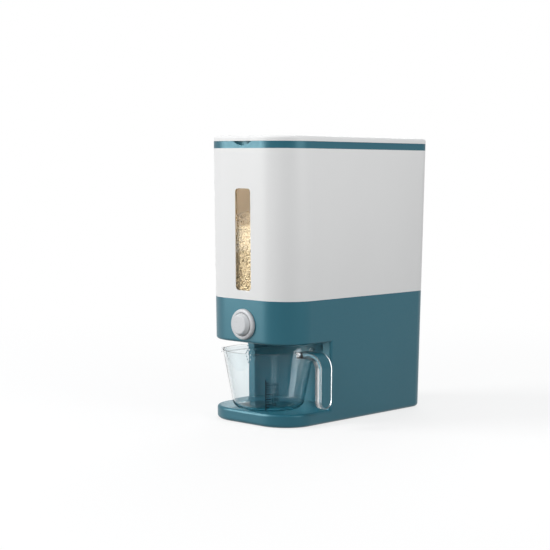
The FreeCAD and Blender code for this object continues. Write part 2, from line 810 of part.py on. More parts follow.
def make_hopper():
    """The sloping floor of the tank, which leads every grain to the narrow throat."""

    def pyramid(name, drop):
        body = new_body(name)
        low = new_sketch(body, name + "_low", "XY_Plane", "throat_height - (%s)" % drop)
        half = "(throat_width / 2)"
        front, rear = "(cup_centre - throat_length / 2)", "(cup_centre + throat_length / 2)"
        draw_rectangle(low, "-" + half, half, front, rear)
        high = new_sketch(body, name + "_high", "XY_Plane", "hopper_reach")
        rise = "(hopper_reach - throat_height + (%s))" % drop
        wide = "(throat_width / 2 + %s / side_slope)" % rise
        draw_rectangle(
            high,
            "-" + wide,
            wide,
            "(%s - %s / front_slope)" % (front, rise),
            "(%s + %s / rear_slope)" % (rear, rise),
        )
        loft(body, name + "_loft", low, high)
        return body

    half = "(throat_width / 2)"
    sheet_solid = cut(
        "hopper_sheet", pyramid("hopper_under", "hopper_thickness"), pyramid("hopper_over", "0")
    )
    room = new_body("hopper_room")
    taper(
        room,
        "hopper_room_block",
        "throat_height - hopper_thickness - slack",
        "hopper_reach + slack",
        "wall + fit_gap",
    )
    trimmed = doc.addObject("Part::Common", "hopper_trimmed")
    trimmed.Base = sheet_solid
    trimmed.Tool = room
    spout = box(
        "hopper_spout",
        ("-(%s + spout_wall)" % half, "%s + spout_wall" % half),
        ("cup_centre - throat_length / 2 - spout_wall", "cup_centre + throat_length / 2 + spout_wall"),
        (CHANNEL_HIGH, "throat_height"),
    )
    flange = box(
        "hopper_flange",
        ("-" + HOUSING_HALF, HOUSING_HALF),
        ("cup_centre - throat_length / 2 - flange_margin", "cup_centre + throat_length / 2 + flange_margin"),
        (DECK_HIGH + " + seal_thickness", DECK_HIGH + " + seal_thickness + flange_thickness"),
    )
    bore = box(
        "throat_bore",
        ("-" + half, half),
        ("cup_centre - throat_length / 2", "cup_centre + throat_length / 2"),
        (CHANNEL_HIGH + " - slack", "throat_height + slack"),
    )
    below = DECK_HIGH + " + seal_thickness - slack"
    passes = [
        rod("hopper_pass_" + end, CLEAR, "flange_thickness + 2 * slack", x, y, below)
        for end, x, y in HOPPER_SCREWS
    ]
    return cut("hopper_funnel", join("hopper_joined", [trimmed, spout, flange]), bore, *passes)


def make_hopper_screws():
    seat = DECK_HIGH + " + seal_thickness + flange_thickness"
    return group(
        "hopper_screws", [screw("hopper_screw_" + end, x, y, seat, False) for end, x, y in HOPPER_SCREWS]
    )


def make_throat_seal():
    """The gasket between the hopper's flange and the valve housing."""
    blank = box(
        "throat_seal_blank",
        ("-(shutter_width / 2)", "shutter_width / 2"),
        ("cup_centre - throat_length / 2 - flange_margin", "cup_centre + throat_length / 2 + flange_margin"),
        (DECK_HIGH, DECK_HIGH + " + seal_thickness"),
    )
    hole = box(
        "throat_seal_hole",
        ("-(throat_width / 2 + spout_wall + fit_gap)", "throat_width / 2 + spout_wall + fit_gap"),
        (
            "cup_centre - throat_length / 2 - spout_wall - fit_gap",
            "cup_centre + throat_length / 2 + spout_wall + fit_gap",
        ),
        (DECK_HIGH + " - slack", DECK_HIGH + " + seal_thickness + slack"),
    )
    return cut("throat_seal", blank, hole)


# ---- collar, hinge and lid -------------------------------------------------------------------

HINGE_Y = "(%s + hinge_offset)" % half_depth("collar_top")
LID_BOTTOM = "(collar_top + lid_gap)"
HINGES = [
    (side, "hinge_spread" if sign == "" else "-hinge_spread")
    for side, sign in SIDES
]


def make_collar():
    """The coloured ring at the tank's mouth, with a finger scoop in front and hinge ears behind."""
    ring = new_body("collar_ring")
    taper(ring, "collar_outer", "collar_bottom", "collar_top")
    taper(ring, "collar_skirt", "collar_bottom - skirt_height", "collar_bottom + slack", "wall + fit_gap")
    taper(
        ring,
        "collar_mouth",
        "collar_bottom - skirt_height - slack",
        "collar_top + slack",
        "collar_width",
        subtract=True,
    )
    under = "wall + fit_gap + skirt_thickness"
    taper(
        ring,
        "collar_under",
        "collar_bottom - skirt_height - slack",
        "collar_bottom + collar_web",
        under,
        subtract=True,
    )
    face = "-" + half_depth("collar_top")
    bow = "((scoop_width * scoop_width / 4 + %s * %s) / (2 * %s))"
    sunk, dropped = bow % (("scoop_depth",) * 3), bow % (("scoop_drop",) * 3)
    hollow = rod(
        "scoop_back", sunk, "collar_height", "0", "(%s + scoop_depth - %s)" % (face, sunk), "collar_bottom"
    )
    smile = rod(
        "scoop_edge",
        dropped,
        "2 * scoop_width",
        "0",
        "(%s - scoop_width)" % face,
        "(collar_top - scoop_drop + %s)" % dropped,
        "Y",
    )
    scoop = doc.addObject("Part::Common", "finger_scoop")
    scoop.Base = hollow
    scoop.Tool = smile
    ears, bores = [], []
    for side, x in HINGES:
        for hand, turn in (("outer", "+"), ("inner", "-")):
            name = "ear_%s_%s" % (side, hand)
            middle_x = "(%s %s (lid_knuckle_width / 2 + fit_gap + knuckle_width / 2))" % (x, turn)
            span = (middle_x + " - knuckle_width / 2", middle_x + " + knuckle_width / 2")
            ears.append(
                box(
                    name,
                    span,
                    (HINGE_Y + " - hinge_offset - ear_root", HINGE_Y),
                    ("collar_top - ear_height", "collar_top"),
                )
            )
            ears.append(
                rod(name + "_barrel", "knuckle_radius", "knuckle_width", span[0], HINGE_Y, "collar_top", "X")
            )
        reach = "(lid_knuckle_width / 2 + fit_gap + knuckle_width + slack)"
        start = "(%s - %s)" % (x, reach)
        bores.append(
            rod(
                "ear_bore_" + side,
                "pin_radius + pin_clearance",
                "2 * " + reach,
                start,
                HINGE_Y,
                "collar_top",
                "X",
            )
        )
    ears_joined = join("collar_with_ears", [ring] + ears)
    return cut("top_collar", ears_joined, scoop, *bores)


def make_hinge_pins():
    pins = []
    for side, x in HINGES:
        half = "(lid_knuckle_width / 2 + fit_gap + knuckle_width)"
        pins.append(
            rod(
                "hinge_pin_" + side,
                "pin_radius",
                "2 * " + half,
                "(%s - %s)" % (x, half),
                HINGE_Y,
                "collar_top",
                "X",
            )
        )
    return group("hinge_pins", pins)


def make_lid_cover():
    """The white lid, hollow underneath, with one hinge knuckle on each of its two rear arms."""
    top = new_body("lid_block")
    pad(top, outline(top, "lid_outer", LID_BOTTOM), "lid_top - %s" % LID_BOTTOM)
    crown = number("lid_top")
    round_edges(top, "lid_round", "lid_edge_radius", lambda edge: flat_at(edge, crown))
    taper(top, "lid_hollow", LID_BOTTOM + " - slack", "lid_top - lid_wall", "lid_wall", subtract=True)
    arms, bores = [], []
    for side, x in HINGES:
        span = ("(%s - lid_knuckle_width / 2)" % x, "(%s + lid_knuckle_width / 2)" % x)
        arms.append(
            box(
                "arm_" + side,
                span,
                (HINGE_Y + " - hinge_offset - lid_wall / 2", HINGE_Y),
                (LID_BOTTOM, "collar_top + arm_height"),
            )
        )
        arms.append(
            rod(
                "arm_barrel_" + side,
                "knuckle_radius",
                "lid_knuckle_width",
                span[0],
                HINGE_Y,
                "collar_top",
                "X",
            )
        )
        bores.append(
            rod(
                "arm_bore_" + side,
                "pin_radius + pin_clearance",
                "2 * lid_knuckle_width",
                "(%s - lid_knuckle_width)" % x,
                HINGE_Y,
                "collar_top",
                "X",
            )
        )
    return cut("lid_cover", join("lid_with_arms", [top] + arms), *bores)


def make_lid_inner():
    """The plug under the lid, an open tray that reaches down into the collar's mouth."""
    plug_inset = "collar_width + plug_gap"
    plug_bottom = "(collar_top - plug_depth)"
    plug = new_body("plug_tray")
    taper(plug, "plug_outer", plug_bottom, "lid_top - lid_wall - lid_gap", plug_inset)
    taper(
        plug,
        "plug_hollow",
        plug_bottom + " + plug_wall",
        "lid_top",
        plug_inset + " + plug_wall",
        subtract=True,
    )
    groove_low = plug_bottom + " + gasket_rise"
    groove_high = groove_low + " + gasket_height"
    groove = new_body("gasket_groove")
    taper(groove, "groove_outer", groove_low, groove_high, "collar_width")
    taper(
        groove,
        "groove_inner",
        groove_low + " - slack",
        groove_high + " + slack",
        plug_inset + " + gasket_bite",
        subtract=True,
    )
    gasket = new_body("lid_gasket")
    taper(gasket, "gasket_outer", groove_low, groove_high, "collar_width + fit_gap")
    taper(
        gasket,
        "gasket_inner",
        groove_low + " - slack",
        groove_high + " + slack",
        plug_inset + " + gasket_bite",
        subtract=True,
    )
    return [cut("lid_inner", plug, groove), gasket]


# ---- push button, shutter and valve ----------------------------------------------------------

CAP_FACE = "(%s - button_proud)" % FACE
SLEEVE_END = "(%s + sleeve_length)" % SEAT
CAP_END = "(%s + sleeve_length + fit_gap + cap_flange_thickness)" % SEAT
ROD_PIN_Y = "(%s - tongue_length / 2)" % PLATE_FRONT


def make_bezel():
    """The ring around the button and the sleeve that guides it."""
    bezel = new_body("button_bezel")
    profile = new_sketch(bezel, "bezel_profile", "YZ_Plane")
    front = "(%s - bezel_proud)" % FACE
    outer = "bore_radius + sleeve_wall"
    draw_polygon(
        profile,
        [
            (SEAT, outer),
            (SEAT, "bezel_radius"),
            (front, "bezel_radius"),
            (front, "bore_radius"),
            (SLEEVE_END, "bore_radius"),
            (SLEEVE_END, outer),
        ],
    )
    turned(bezel, profile, "H_Axis")
    front_y = number(front)
    rim = number("(bore_radius + bezel_radius) / 2")

    def outer_front(edge):
        return abs(edge.BoundBox.YMax - front_y) < 1e-3 and edge.BoundBox.XMax > rim

    def inner_front(edge):
        return abs(edge.BoundBox.YMax - front_y) < 1e-3 and edge.BoundBox.XMax < rim

    round_edges(bezel, "bezel_outer_round", "bezel_round", outer_front)
    round_edges(bezel, "bezel_inner_round", "cap_wall / 2", inner_front)
    return place(bezel, z="button_height")


def make_cap():
    """The push button: a domed cap with a stop flange behind the sleeve and a boss for the rod."""
    cap = new_body("button_cap")
    profile = new_sketch(cap, "cap_profile", "YZ_Plane")
    skirt = "(bore_radius - bore_gap)"
    inside = "(bore_radius - bore_gap - cap_wall)"
    boss = "(rod_radius + cap_boss_wall)"
    hole = "(rod_radius + pin_clearance)"
    hollow_y = "(%s + cap_wall)" % CAP_FACE
    boss_end = "(%s + rod_seat + cap_wall)" % CAP_FACE
    draw_polygon(
        profile,
        [
            (CAP_FACE, "0"),
            (CAP_FACE, "cap_face_radius"),
            ("(%s + cap_shoulder)" % CAP_FACE, skirt),
            ("(%s - cap_flange_thickness)" % CAP_END, skirt),
            ("(%s - cap_flange_thickness)" % CAP_END, "cap_flange_radius"),
            (CAP_END, "cap_flange_radius"),
            (CAP_END, inside),
            ("(%s + cap_shoulder)" % CAP_FACE, inside),
            (hollow_y, "(cap_face_radius - cap_wall)"),
            (hollow_y, boss),
            (boss_end, boss),
            (boss_end, hole),
            (hollow_y, hole),
            (hollow_y, "0"),
        ],
    )
    turned(cap, profile, "H_Axis")
    face_y = number(CAP_FACE)
    shoulder_y = number("(%s + cap_shoulder)" % CAP_FACE)
    outside = number(skirt)

    def crown_edge(edge):
        level = abs(edge.BoundBox.YMax - face_y) < 1e-3 and edge.BoundBox.XMax > 1
        shoulder = abs(edge.BoundBox.YMax - shoulder_y) < 1e-3 and edge.BoundBox.XMax > outside - 1e-3
        return (level or shoulder) and edge.BoundBox.YLength < 1e-3

    round_edges(cap, "cap_crown_round", "cap_round", crown_edge)
    return place(cap, z="button_height")


def make_rod():
    """The push rod from the cap to the shutter, forked at its rear end around the shutter's tongue."""
    start = "(%s + cap_wall + rod_seat_gap)" % CAP_FACE
    end = "(%s - fit_gap)" % PLATE_FRONT
    bar = rod("rod_bar", "rod_radius", "(%s - %s)" % (end, start), "0", start, "button_height", "Y")
    half = "(shutter_thickness / 2 + pin_clearance)"
    fork = box(
        "rod_fork",
        ("-2 * rod_radius", "2 * rod_radius"),
        ("(%s - fork_depth)" % end, "(%s + slack)" % end),
        ("button_height - " + half, "button_height + " + half),
    )
    hole = rod(
        "rod_pin_hole",
        "rod_pin_radius + pin_clearance",
        "4 * rod_radius",
        "0",
        ROD_PIN_Y,
        "button_height - 2 * rod_radius",
    )
    return cut("push_rod", bar, fork, hole)


def make_rod_pin():
    reach = "(rod_radius - rod_pin_inset)"
    return rod("rod_pin", "rod_pin_radius", "2 * " + reach, "0", ROD_PIN_Y, "button_height - " + reach)


def make_shutter():
    """The sliding plate whose slot comes under the throat when the button is pressed."""
    plate = new_body("shutter_plate")
    sketch = new_sketch(plate, "shutter_outline", "XY_Plane", "-(shutter_thickness / 2)")
    half, tongue, spigot = "shutter_width / 2", "tongue_width / 2", "spigot_width / 2"
    tip = "(%s - tongue_length)" % PLATE_FRONT
    tail = "(%s + spigot_length)" % PLATE_REAR
    draw_polygon(
        sketch,
        [
            ("-" + half, PLATE_FRONT),
            ("-" + tongue, PLATE_FRONT),
            ("-" + tongue, tip),
            (tongue, tip),
            (tongue, PLATE_FRONT),
            (half, PLATE_FRONT),
            (half, PLATE_REAR),
            (spigot, PLATE_REAR),
            (spigot, tail),
            ("-" + spigot, tail),
            ("-" + spigot, PLATE_REAR),
            ("-" + half, PLATE_REAR),
        ],
    )
    pad(plate, sketch, "shutter_thickness")
    slot = new_sketch(plate, "shutter_slot", "XY_Plane", "shutter_thickness")
    draw_rectangle(
        slot, "-throat_width / 2", "throat_width / 2", SLOT_FRONT, "(%s + throat_length)" % SLOT_FRONT
    )
    pocket(plate, slot, "2 * shutter_thickness")
    hole = new_sketch(plate, "shutter_pin_hole", "XY_Plane", "shutter_thickness")
    draw_circle(hole, "0", ROD_PIN_Y, "rod_pin_radius + pin_clearance")
    pocket(plate, hole, "2 * shutter_thickness")
    return place(plate, z="button_height")


def make_valve_housing():
    """The frame that guides the shutter between two decks and backs its spring."""
    half = HOUSING_HALF
    parts = [
        box("housing_block", ("-" + half, half), (HOUSING_FRONT, HOUSING_REAR), (CEILING_TOP, DECK_HIGH))
    ]
    for end, x, y in EAR_SCREWS:
        reach = to_side(x, half + " - slack", half + " + ear_width")
        along = (y + " - ear_depth / 2", y + " + ear_depth / 2")
        parts.append(box("housing_ear_" + end, reach, along, (EAR_TOP + " - ear_thickness", EAR_TOP)))
    wide = CHANNEL_HALF
    spring_room = "(spring_radius + 2 * spring_wire)"
    guide = "guide_pin_radius + pin_clearance"
    tools = [
        box(
            "shutter_channel",
            ("-" + wide, wide),
            ("(%s - guide_gap)" % PLATE_FRONT, "(%s + button_travel + guide_gap)" % PLATE_REAR),
            (CHANNEL_LOW, CHANNEL_HIGH),
        ),
        box(
            "spring_chamber",
            ("-" + spring_room, spring_room),
            (PLATE_REAR, SPRING_REAR),
            ("button_height - " + spring_room, "button_height + " + spring_room),
        ),
        box(
            "rod_chamber",
            ("-(rod_radius + rod_room)", "rod_radius + rod_room"),
            ("%s - slack" % HOUSING_FRONT, "(%s + button_travel + slack)" % PLATE_FRONT),
            ("button_height - rod_radius - guide_gap", DECK_HIGH + " + slack"),
        ),
        box(
            "inlet_hole",
            ("-(throat_width / 2 + spout_wall + fit_gap)", "throat_width / 2 + spout_wall + fit_gap"),
            (
                "cup_centre - throat_length / 2 - spout_wall - fit_gap",
                "cup_centre + throat_length / 2 + spout_wall + fit_gap",
            ),
            ("button_height", DECK_HIGH + " + slack"),
        ),
        box(
            "outlet_hole",
            ("-(throat_width / 2 + slack)", "throat_width / 2 + slack"),
            ("cup_centre - throat_length / 2 - slack", "cup_centre + throat_length / 2 + slack"),
            (DECK_LOW + " - slack", "button_height"),
        ),
        box(
            "chute_room",
            ("-" + wide, wide),
            ("(%s + wall)" % HOUSING_FRONT, "(%s - wall)" % HOUSING_REAR),
            (CEILING_TOP + " - slack", DECK_LOW),
        ),
        rod(
            "guide_pin_hole", guide, "2 * deck_thickness", "0", SPRING_REAR + " - slack", "button_height", "Y"
        ),
    ]
    for end, x, y in EAR_SCREWS:
        tools.append(rod("ear_pass_" + end, CLEAR, "2 * ear_lift", x, y, EAR_TOP + " - ear_lift"))
    for end, x, y in HOPPER_SCREWS:
        tools.append(
            rod("hopper_pilot_" + end, THREAD, "screw_length", x, y, DECK_HIGH + " - screw_length + slack")
        )
    return cut("valve_housing", join("housing_solid", parts), *tools)


def make_housing_screws():
    length = "ear_lift + ear_thickness - slack"
    screws = [screw("housing_screw_" + end, x, y, EAR_TOP, False, length) for end, x, y in EAR_SCREWS]
    return group("housing_screws", screws)


def make_chute():
    """The outlet that leads the grain from the shutter down through the niche's ceiling."""
    chute = new_body("outlet_chute")

    def section(name, z, width, depth, wall):
        sketch = new_sketch(chute, name, "XY_Plane", z)
        across, along = "(%s / 2 - (%s))" % (width, wall), "(%s / 2 - (%s))" % (depth, wall)
        draw_rectangle(sketch, "-" + across, across, "(cup_centre - %s)" % along, "(cup_centre + %s)" % along)
        return sketch

    flange_top = "(%s + chute_flange_thickness)" % CEILING_TOP
    top = DECK_LOW + " - fit_gap"
    pad(
        chute,
        section("chute_tube", "chute_bottom", "chute_width", "chute_depth", "0"),
        "(%s) - chute_bottom" % flange_top,
    )
    pad(
        chute,
        section("chute_flange_plate", CEILING_TOP, "chute_top_width", "chute_top_depth", "-chute_flange / 2"),
        "chute_flange_thickness",
    )
    loft(
        chute,
        "chute_hood",
        section("chute_hood_low", flange_top, "chute_width", "chute_depth", "0"),
        section("chute_hood_high", top, "chute_top_width", "chute_top_depth", "0"),
    )
    loft(
        chute,
        "chute_hood_bore",
        section("chute_bore_low", flange_top, "chute_width", "chute_depth", "chute_wall"),
        section("chute_bore_high", top, "chute_top_width", "chute_top_depth", "chute_wall"),
        subtract=True,
    )
    bore = section("chute_tube_bore", "chute_bottom", "chute_width", "chute_depth", "chute_wall")
    pocket(chute, bore, "(%s) - chute_bottom" % flange_top, along_normal=True)
    return chute


def make_spring():
    """The compression spring that pushes the shutter and the button back."""
    helix = doc.addObject("Part::Helix", "spring_path")
    bind(helix, "Pitch", "spring_pitch")
    bind(helix, "Height", "spring_length - 2 * spring_wire")
    bind(helix, "Radius", "spring_radius - spring_wire")
    start = "(%s + guide_gap + spring_wire)" % PLATE_REAR
    place(helix, "0", start, "button_height", Vector(1, 0, 0), -90)
    wire = doc.addObject("Part::Circle", "spring_section")
    bind(wire, "Radius", "spring_wire")
    place(wire, "spring_radius - spring_wire", start, "button_height")
    spring = doc.addObject("Part::Sweep", "return_spring")
    spring.Sections = [wire]
    spring.Spine = (helix, ["Edge1"])
    spring.Solid = True
    spring.Frenet = True
    return spring


def make_guide_pin():
    length, start = "guide_pin_length + deck_thickness", SPRING_REAR + " - guide_pin_length"
    return rod("spring_guide", "guide_pin_radius", length, "0", start, "button_height", "Y")


# ---- measuring cup ---------------------------------------------------------------------------


def cup_space(name, gap):
    """The space inside the cup, up past its rim, kept a gap off the wall."""
    space = new_body(name)
    sketch = new_sketch(space, name + "_profile", "XZ_Plane")
    lean = "((cup_rim_radius - cup_foot_radius) / cup_height)"
    low = "(cup_foot_radius - cup_wall + cup_floor * %s - (%s))" % (lean, gap)
    high = "(%s + (cup_height + cup_wall * 4 - cup_floor) * %s)" % (low, lean)
    bottom, top = "(cup_floor + (%s))" % gap, "(cup_height + cup_wall * 4)"
    draw_polygon(sketch, [("0", bottom), (low, bottom), (high, top), ("0", top)])
    turned(space, sketch, "V_Axis")
    floor = number(bottom)
    round_edges(space, name + "_edge", "cup_floor_round", lambda edge: flat_at(edge, floor))
    return place(space, y="cup_centre", z="platform_height")


def make_cup():
    """The clear cup and its hooked handle, one moulding."""
    cup = new_body("cup_solid")
    profile = new_sketch(cup, "cup_profile", "XZ_Plane")
    draw_polygon(
        profile, [("0", "0"), ("cup_foot_radius", "0"), ("cup_rim_radius", "cup_height"), ("0", "cup_height")]
    )
    turned(cup, profile, "V_Axis")
    round_edges(cup, "cup_foot_edge", "cup_foot_round", lambda edge: flat_at(edge, 0))
    grip = new_sketch(cup, "handle_profile", "XZ_Plane")
    inner = "(handle_reach - handle_thickness)"
    draw_polygon(
        grip,
        [
            ("cup_foot_radius", "handle_top - handle_arm"),
            (inner, "handle_top - handle_arm"),
            (inner, "handle_bottom"),
            ("handle_reach", "handle_bottom"),
            ("handle_reach", "handle_top"),
            ("cup_foot_radius", "handle_top"),
        ],
    )
    pad(cup, grip, "handle_width", symmetric=True)
    reach, top, low = number("handle_reach"), number("handle_top"), number("handle_bottom")
    inside, arm = number(inner), number("handle_top - handle_arm")

    def across_at(edge, x, z):
        spot = middle(edge)
        level = edge.BoundBox.ZLength < 1e-3 and abs(spot.z - z) < 1e-3
        return level and edge.BoundBox.YLength > 5 and abs(spot.x - x) < 1e-3

    round_edges(cup, "handle_corner_round", "handle_corner", lambda edge: across_at(edge, reach, top))
    round_edges(
        cup, "handle_inner_round", "handle_corner - handle_arm", lambda edge: across_at(edge, inside, arm)
    )

    def tip_corner(edge):
        return flat_at(edge, low) and edge.BoundBox.YLength < 1e-3 and middle(edge).x > inside

    round_edges(cup, "handle_tip_round", "handle_width / 2 - handle_tip_flat", tip_corner)

    def upright_edge(edge):
        spot = middle(edge)
        flat = edge.BoundBox.XLength < 1e-3 and edge.BoundBox.YLength < 1e-3
        return flat and min(abs(spot.x - inside), abs(spot.x - reach)) < 1e-3

    round_edges(cup, "handle_edge_rounds", "handle_edge_round", upright_edge)
    channel = insert_block("insert_channel", "slack", "insert_width")
    for body in (cup, channel):
        place(body, y="cup_centre", z="platform_height")
    return cut("cup_body", cup, cup_space("cup_space", "0"), channel)


# How far the middle of a quarter bend lies from its corner, as a share of its radius.
BEND_SHARE = "%.4f" % (1 - math.sqrt(0.5))


def insert_points(over):
    """The side view of the strip let into the handle, reaching out over its face by an allowance."""
    deep = "(handle_reach - insert_thickness)"
    under = "(handle_top - insert_thickness)"
    bend_in = "((handle_corner - insert_thickness) * %s)" % BEND_SHARE
    return [
        ("insert_start", under),
        ("(handle_reach - handle_corner)", under),
        ("(%s - %s)" % (deep, bend_in), "(%s - %s)" % (under, bend_in)),
        (deep, "(handle_top - handle_corner)"),
        (deep, "insert_end"),
        ("(handle_reach + %s)" % over, "insert_end"),
        ("(handle_reach + %s)" % over, "(handle_top + %s)" % over),
        ("insert_start", "(handle_top + %s)" % over),
    ]


def insert_block(name, over, width):
    """A strip along the handle's outside with a rounded tip, reaching over its face by an allowance."""
    block = new_body(name)
    side = new_sketch(block, name + "_profile", "XZ_Plane")
    draw_polygon(side, insert_points(over))
    pad(block, side, width, symmetric=True)
    end = number("insert_end")

    def tip_corner(edge):
        return flat_at(edge, end) and edge.BoundBox.YLength < 1e-3

    round_edges(block, name + "_tip_round", "(%s) / 2 - handle_tip_flat" % width, tip_corner)
    return block


def make_insert():
    """The coloured grip strip on the outside of the handle."""
    strip = insert_block("handle_insert", "0", "insert_width - 2 * pin_clearance")
    reach, top = number("handle_reach"), number("handle_top")

    def outer_corner(edge):
        spot = middle(edge)
        return edge.BoundBox.YLength > 5 and abs(spot.x - reach) < 1e-3 and abs(spot.z - top) < 1e-3

    round_edges(strip, "insert_corner_round", "handle_corner", outer_corner)
    return place(strip, y="cup_centre", z="platform_height")


INNER_RINGS = 2


def make_strainer():
    """The half-moon strainer: a leaning pierced plate inside the rim, hung on two hooks."""
    rim = "(platform_height + cup_height)"
    seat = Vector(-number("strainer_offset"), number("cup_centre"), number(rim))
    tilt = FreeCAD.Placement(seat, FreeCAD.Rotation(Vector(0, 1, 0), number("strainer_lean")))

    def block(name, frame, x, y, z):
        """A block between pairs of formulas, in a frame of its own."""
        solid = doc.addObject("Part::Box", name)
        for prop, (low, high) in zip(("Length", "Width", "Height"), (x, y, z)):
            bind(solid, prop, "(%s) - (%s)" % (high, low))
        corner = Vector(number(x[0]), number(y[0]), number(z[0]))
        solid.Placement = frame.multiply(FreeCAD.Placement(corner, FreeCAD.Rotation()))
        return solid

    thin, thick = "strainer_thickness / 2", "strainer_bar / 2"
    chord = ("-cup_rim_radius", "cup_rim_radius")
    plate = block("strainer_blank", tilt, ("-" + thin, thin), chord, ("-strainer_depth", "0"))
    bar = block("strainer_top_bar", tilt, ("-" + thick, thick), chord, ("-strainer_bar_height", "0"))
    fitted = doc.addObject("Part::Common", "strainer_fitted")
    fitted.Base = join("strainer_solid", [plate, bar])
    fitted.Tool = cup_space("strainer_room", "fit_gap")

    holes = []
    rays, rings = int(number("strainer_rays")), int(number("strainer_rings"))
    first_row = number("strainer_bar_height + strainer_first_row")
    across = FreeCAD.Rotation(Vector(0, 1, 0), 90)
    for ray in range(rays):
        angle = math.pi * ray / (rays - 1)
        for ring in range(1, rings + 1):
            if ring <= INNER_RINGS and ray % 2:
                continue
            y = ring * number("strainer_pitch_across") * math.cos(angle)
            z = -first_row - ring * number("strainer_pitch_down") * math.sin(angle)
            hole = doc.addObject("Part::Cylinder", "strainer_hole_%d_%d" % (ray, ring))
            bind(hole, "Radius", "strainer_hole_radius")
            bind(hole, "Height", "4 * strainer_thickness")
            spot = Vector(-number("2 * strainer_thickness"), y, z)
            hole.Placement = tilt.multiply(FreeCAD.Placement(spot, across))
            holes.append(hole)
    pierced = cut("strainer_pierced", fitted, *holes)

    hooks = []
    inner = "(cup_rim_radius - cup_wall - fit_gap - hook_thickness - 2 * hook_spread)"
    outer = "(cup_rim_radius + fit_gap + hook_thickness)"
    wide = ("-hook_width / 2", "hook_width / 2")
    top = "(cup_height + fit_gap)"
    drop = ("%s - hook_drop" % top, top)
    for side, sign in (("front", 1), ("rear", -1)):
        turn = FreeCAD.Rotation(Vector(0, 0, 1), 180 + sign * number("hook_angle"))
        frame = FreeCAD.Placement(Vector(0, number("cup_centre"), number("platform_height")), turn)
        root = (inner + " - hook_spread", inner + " + hook_thickness")
        hooks += [
            block("hook_bridge_" + side, frame, (inner, outer), wide, (top, top + " + hook_thickness")),
            block("hook_lip_" + side, frame, (outer + " - hook_thickness", outer), wide, drop),
            block("hook_root_" + side, frame, root, wide, drop),
        ]
    return join("strainer_plate", [pierced] + hooks)


# ---- build, check and write ------------------------------------------------------------------

pieces = [
    make_base_housing(),
    make_bottom_cover(),
    make_feet(),
    make_cover_screws(),
    make_tank_shell(),
    make_tank_screws(),
    make_hopper(),
    make_hopper_screws(),
    make_throat_seal(),
    make_collar(),
    make_hinge_pins(),
    make_lid_cover(),
    make_bezel(),
    make_cap(),
    make_rod(),
    make_rod_pin(),
    make_shutter(),
    make_valve_housing(),
    make_housing_screws(),
    make_chute(),
    make_spring(),
    make_guide_pin(),
    make_cup(),
    make_insert(),
    make_strainer(),
]
pieces += make_window()
pieces += make_lid_inner()

doc.recompute()
for item in doc.Objects:
    if "Invalid" in item.State or "Error" in item.State:
        raise RuntimeError("%s failed: %s" % (item.Name, item.State))
for piece in pieces:
    piece.Label = piece.Name
    if piece.Shape.isNull() or not piece.Shape.isValid():
        raise RuntimeError("%s has no valid shape" % piece.Label)

os.makedirs("parts", exist_ok=True)
for piece in pieces:
    piece.Shape.exportStep("parts/%s.step" % piece.Label)
    print("%-16s solids %2d volume %9.1f" % (piece.Label, len(piece.Shape.Solids), piece.Shape.Volume))
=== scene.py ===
"""Dresses the push-button rice dispenser: finishes, rice, printed cup scale and studio."""

import logging
import math
from contextlib import contextmanager
from dataclasses import dataclass, field, replace
from enum import Enum
from typing import Iterator, Optional, Sequence

import bmesh
import bpy
import numpy as np
from mathutils import Matrix, Vector


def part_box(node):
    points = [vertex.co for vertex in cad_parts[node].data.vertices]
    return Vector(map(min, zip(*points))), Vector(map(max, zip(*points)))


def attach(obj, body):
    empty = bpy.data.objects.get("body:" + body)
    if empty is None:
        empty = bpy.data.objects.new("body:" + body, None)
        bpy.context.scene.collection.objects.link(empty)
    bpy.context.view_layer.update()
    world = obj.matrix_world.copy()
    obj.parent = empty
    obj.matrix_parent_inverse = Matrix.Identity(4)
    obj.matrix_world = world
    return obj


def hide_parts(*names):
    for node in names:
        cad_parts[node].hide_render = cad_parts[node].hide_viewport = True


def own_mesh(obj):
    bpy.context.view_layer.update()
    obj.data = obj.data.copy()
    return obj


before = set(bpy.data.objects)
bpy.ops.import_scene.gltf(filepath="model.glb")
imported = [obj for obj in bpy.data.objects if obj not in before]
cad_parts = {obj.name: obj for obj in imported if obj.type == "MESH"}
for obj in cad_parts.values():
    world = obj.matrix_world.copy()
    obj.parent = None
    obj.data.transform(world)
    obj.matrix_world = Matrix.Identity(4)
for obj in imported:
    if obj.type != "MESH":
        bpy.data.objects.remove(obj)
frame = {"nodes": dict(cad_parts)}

log = logging.getLogger("rice_dispenser")

Colour = tuple[float, float, float]
Point = tuple[float, float, float]
Socket = bpy.types.NodeSocket
Sockets = dict[str | int, object]
Piece = bpy.types.Object


class Body(Enum):
    """The moving bodies of the dispenser."""

    ROOT = "root"
    LID = "lid"
    BUTTON = "button"
    CUP = "cup"


class Slot(Enum):
    """Material slots of the record, one for each kind of new piece; the script doesn't use them."""

    GRAIN = "inner_white"
    INK = "seal_rubber"
    WIRE = "steel"


# ---------------------------------------------------------------- node sheets


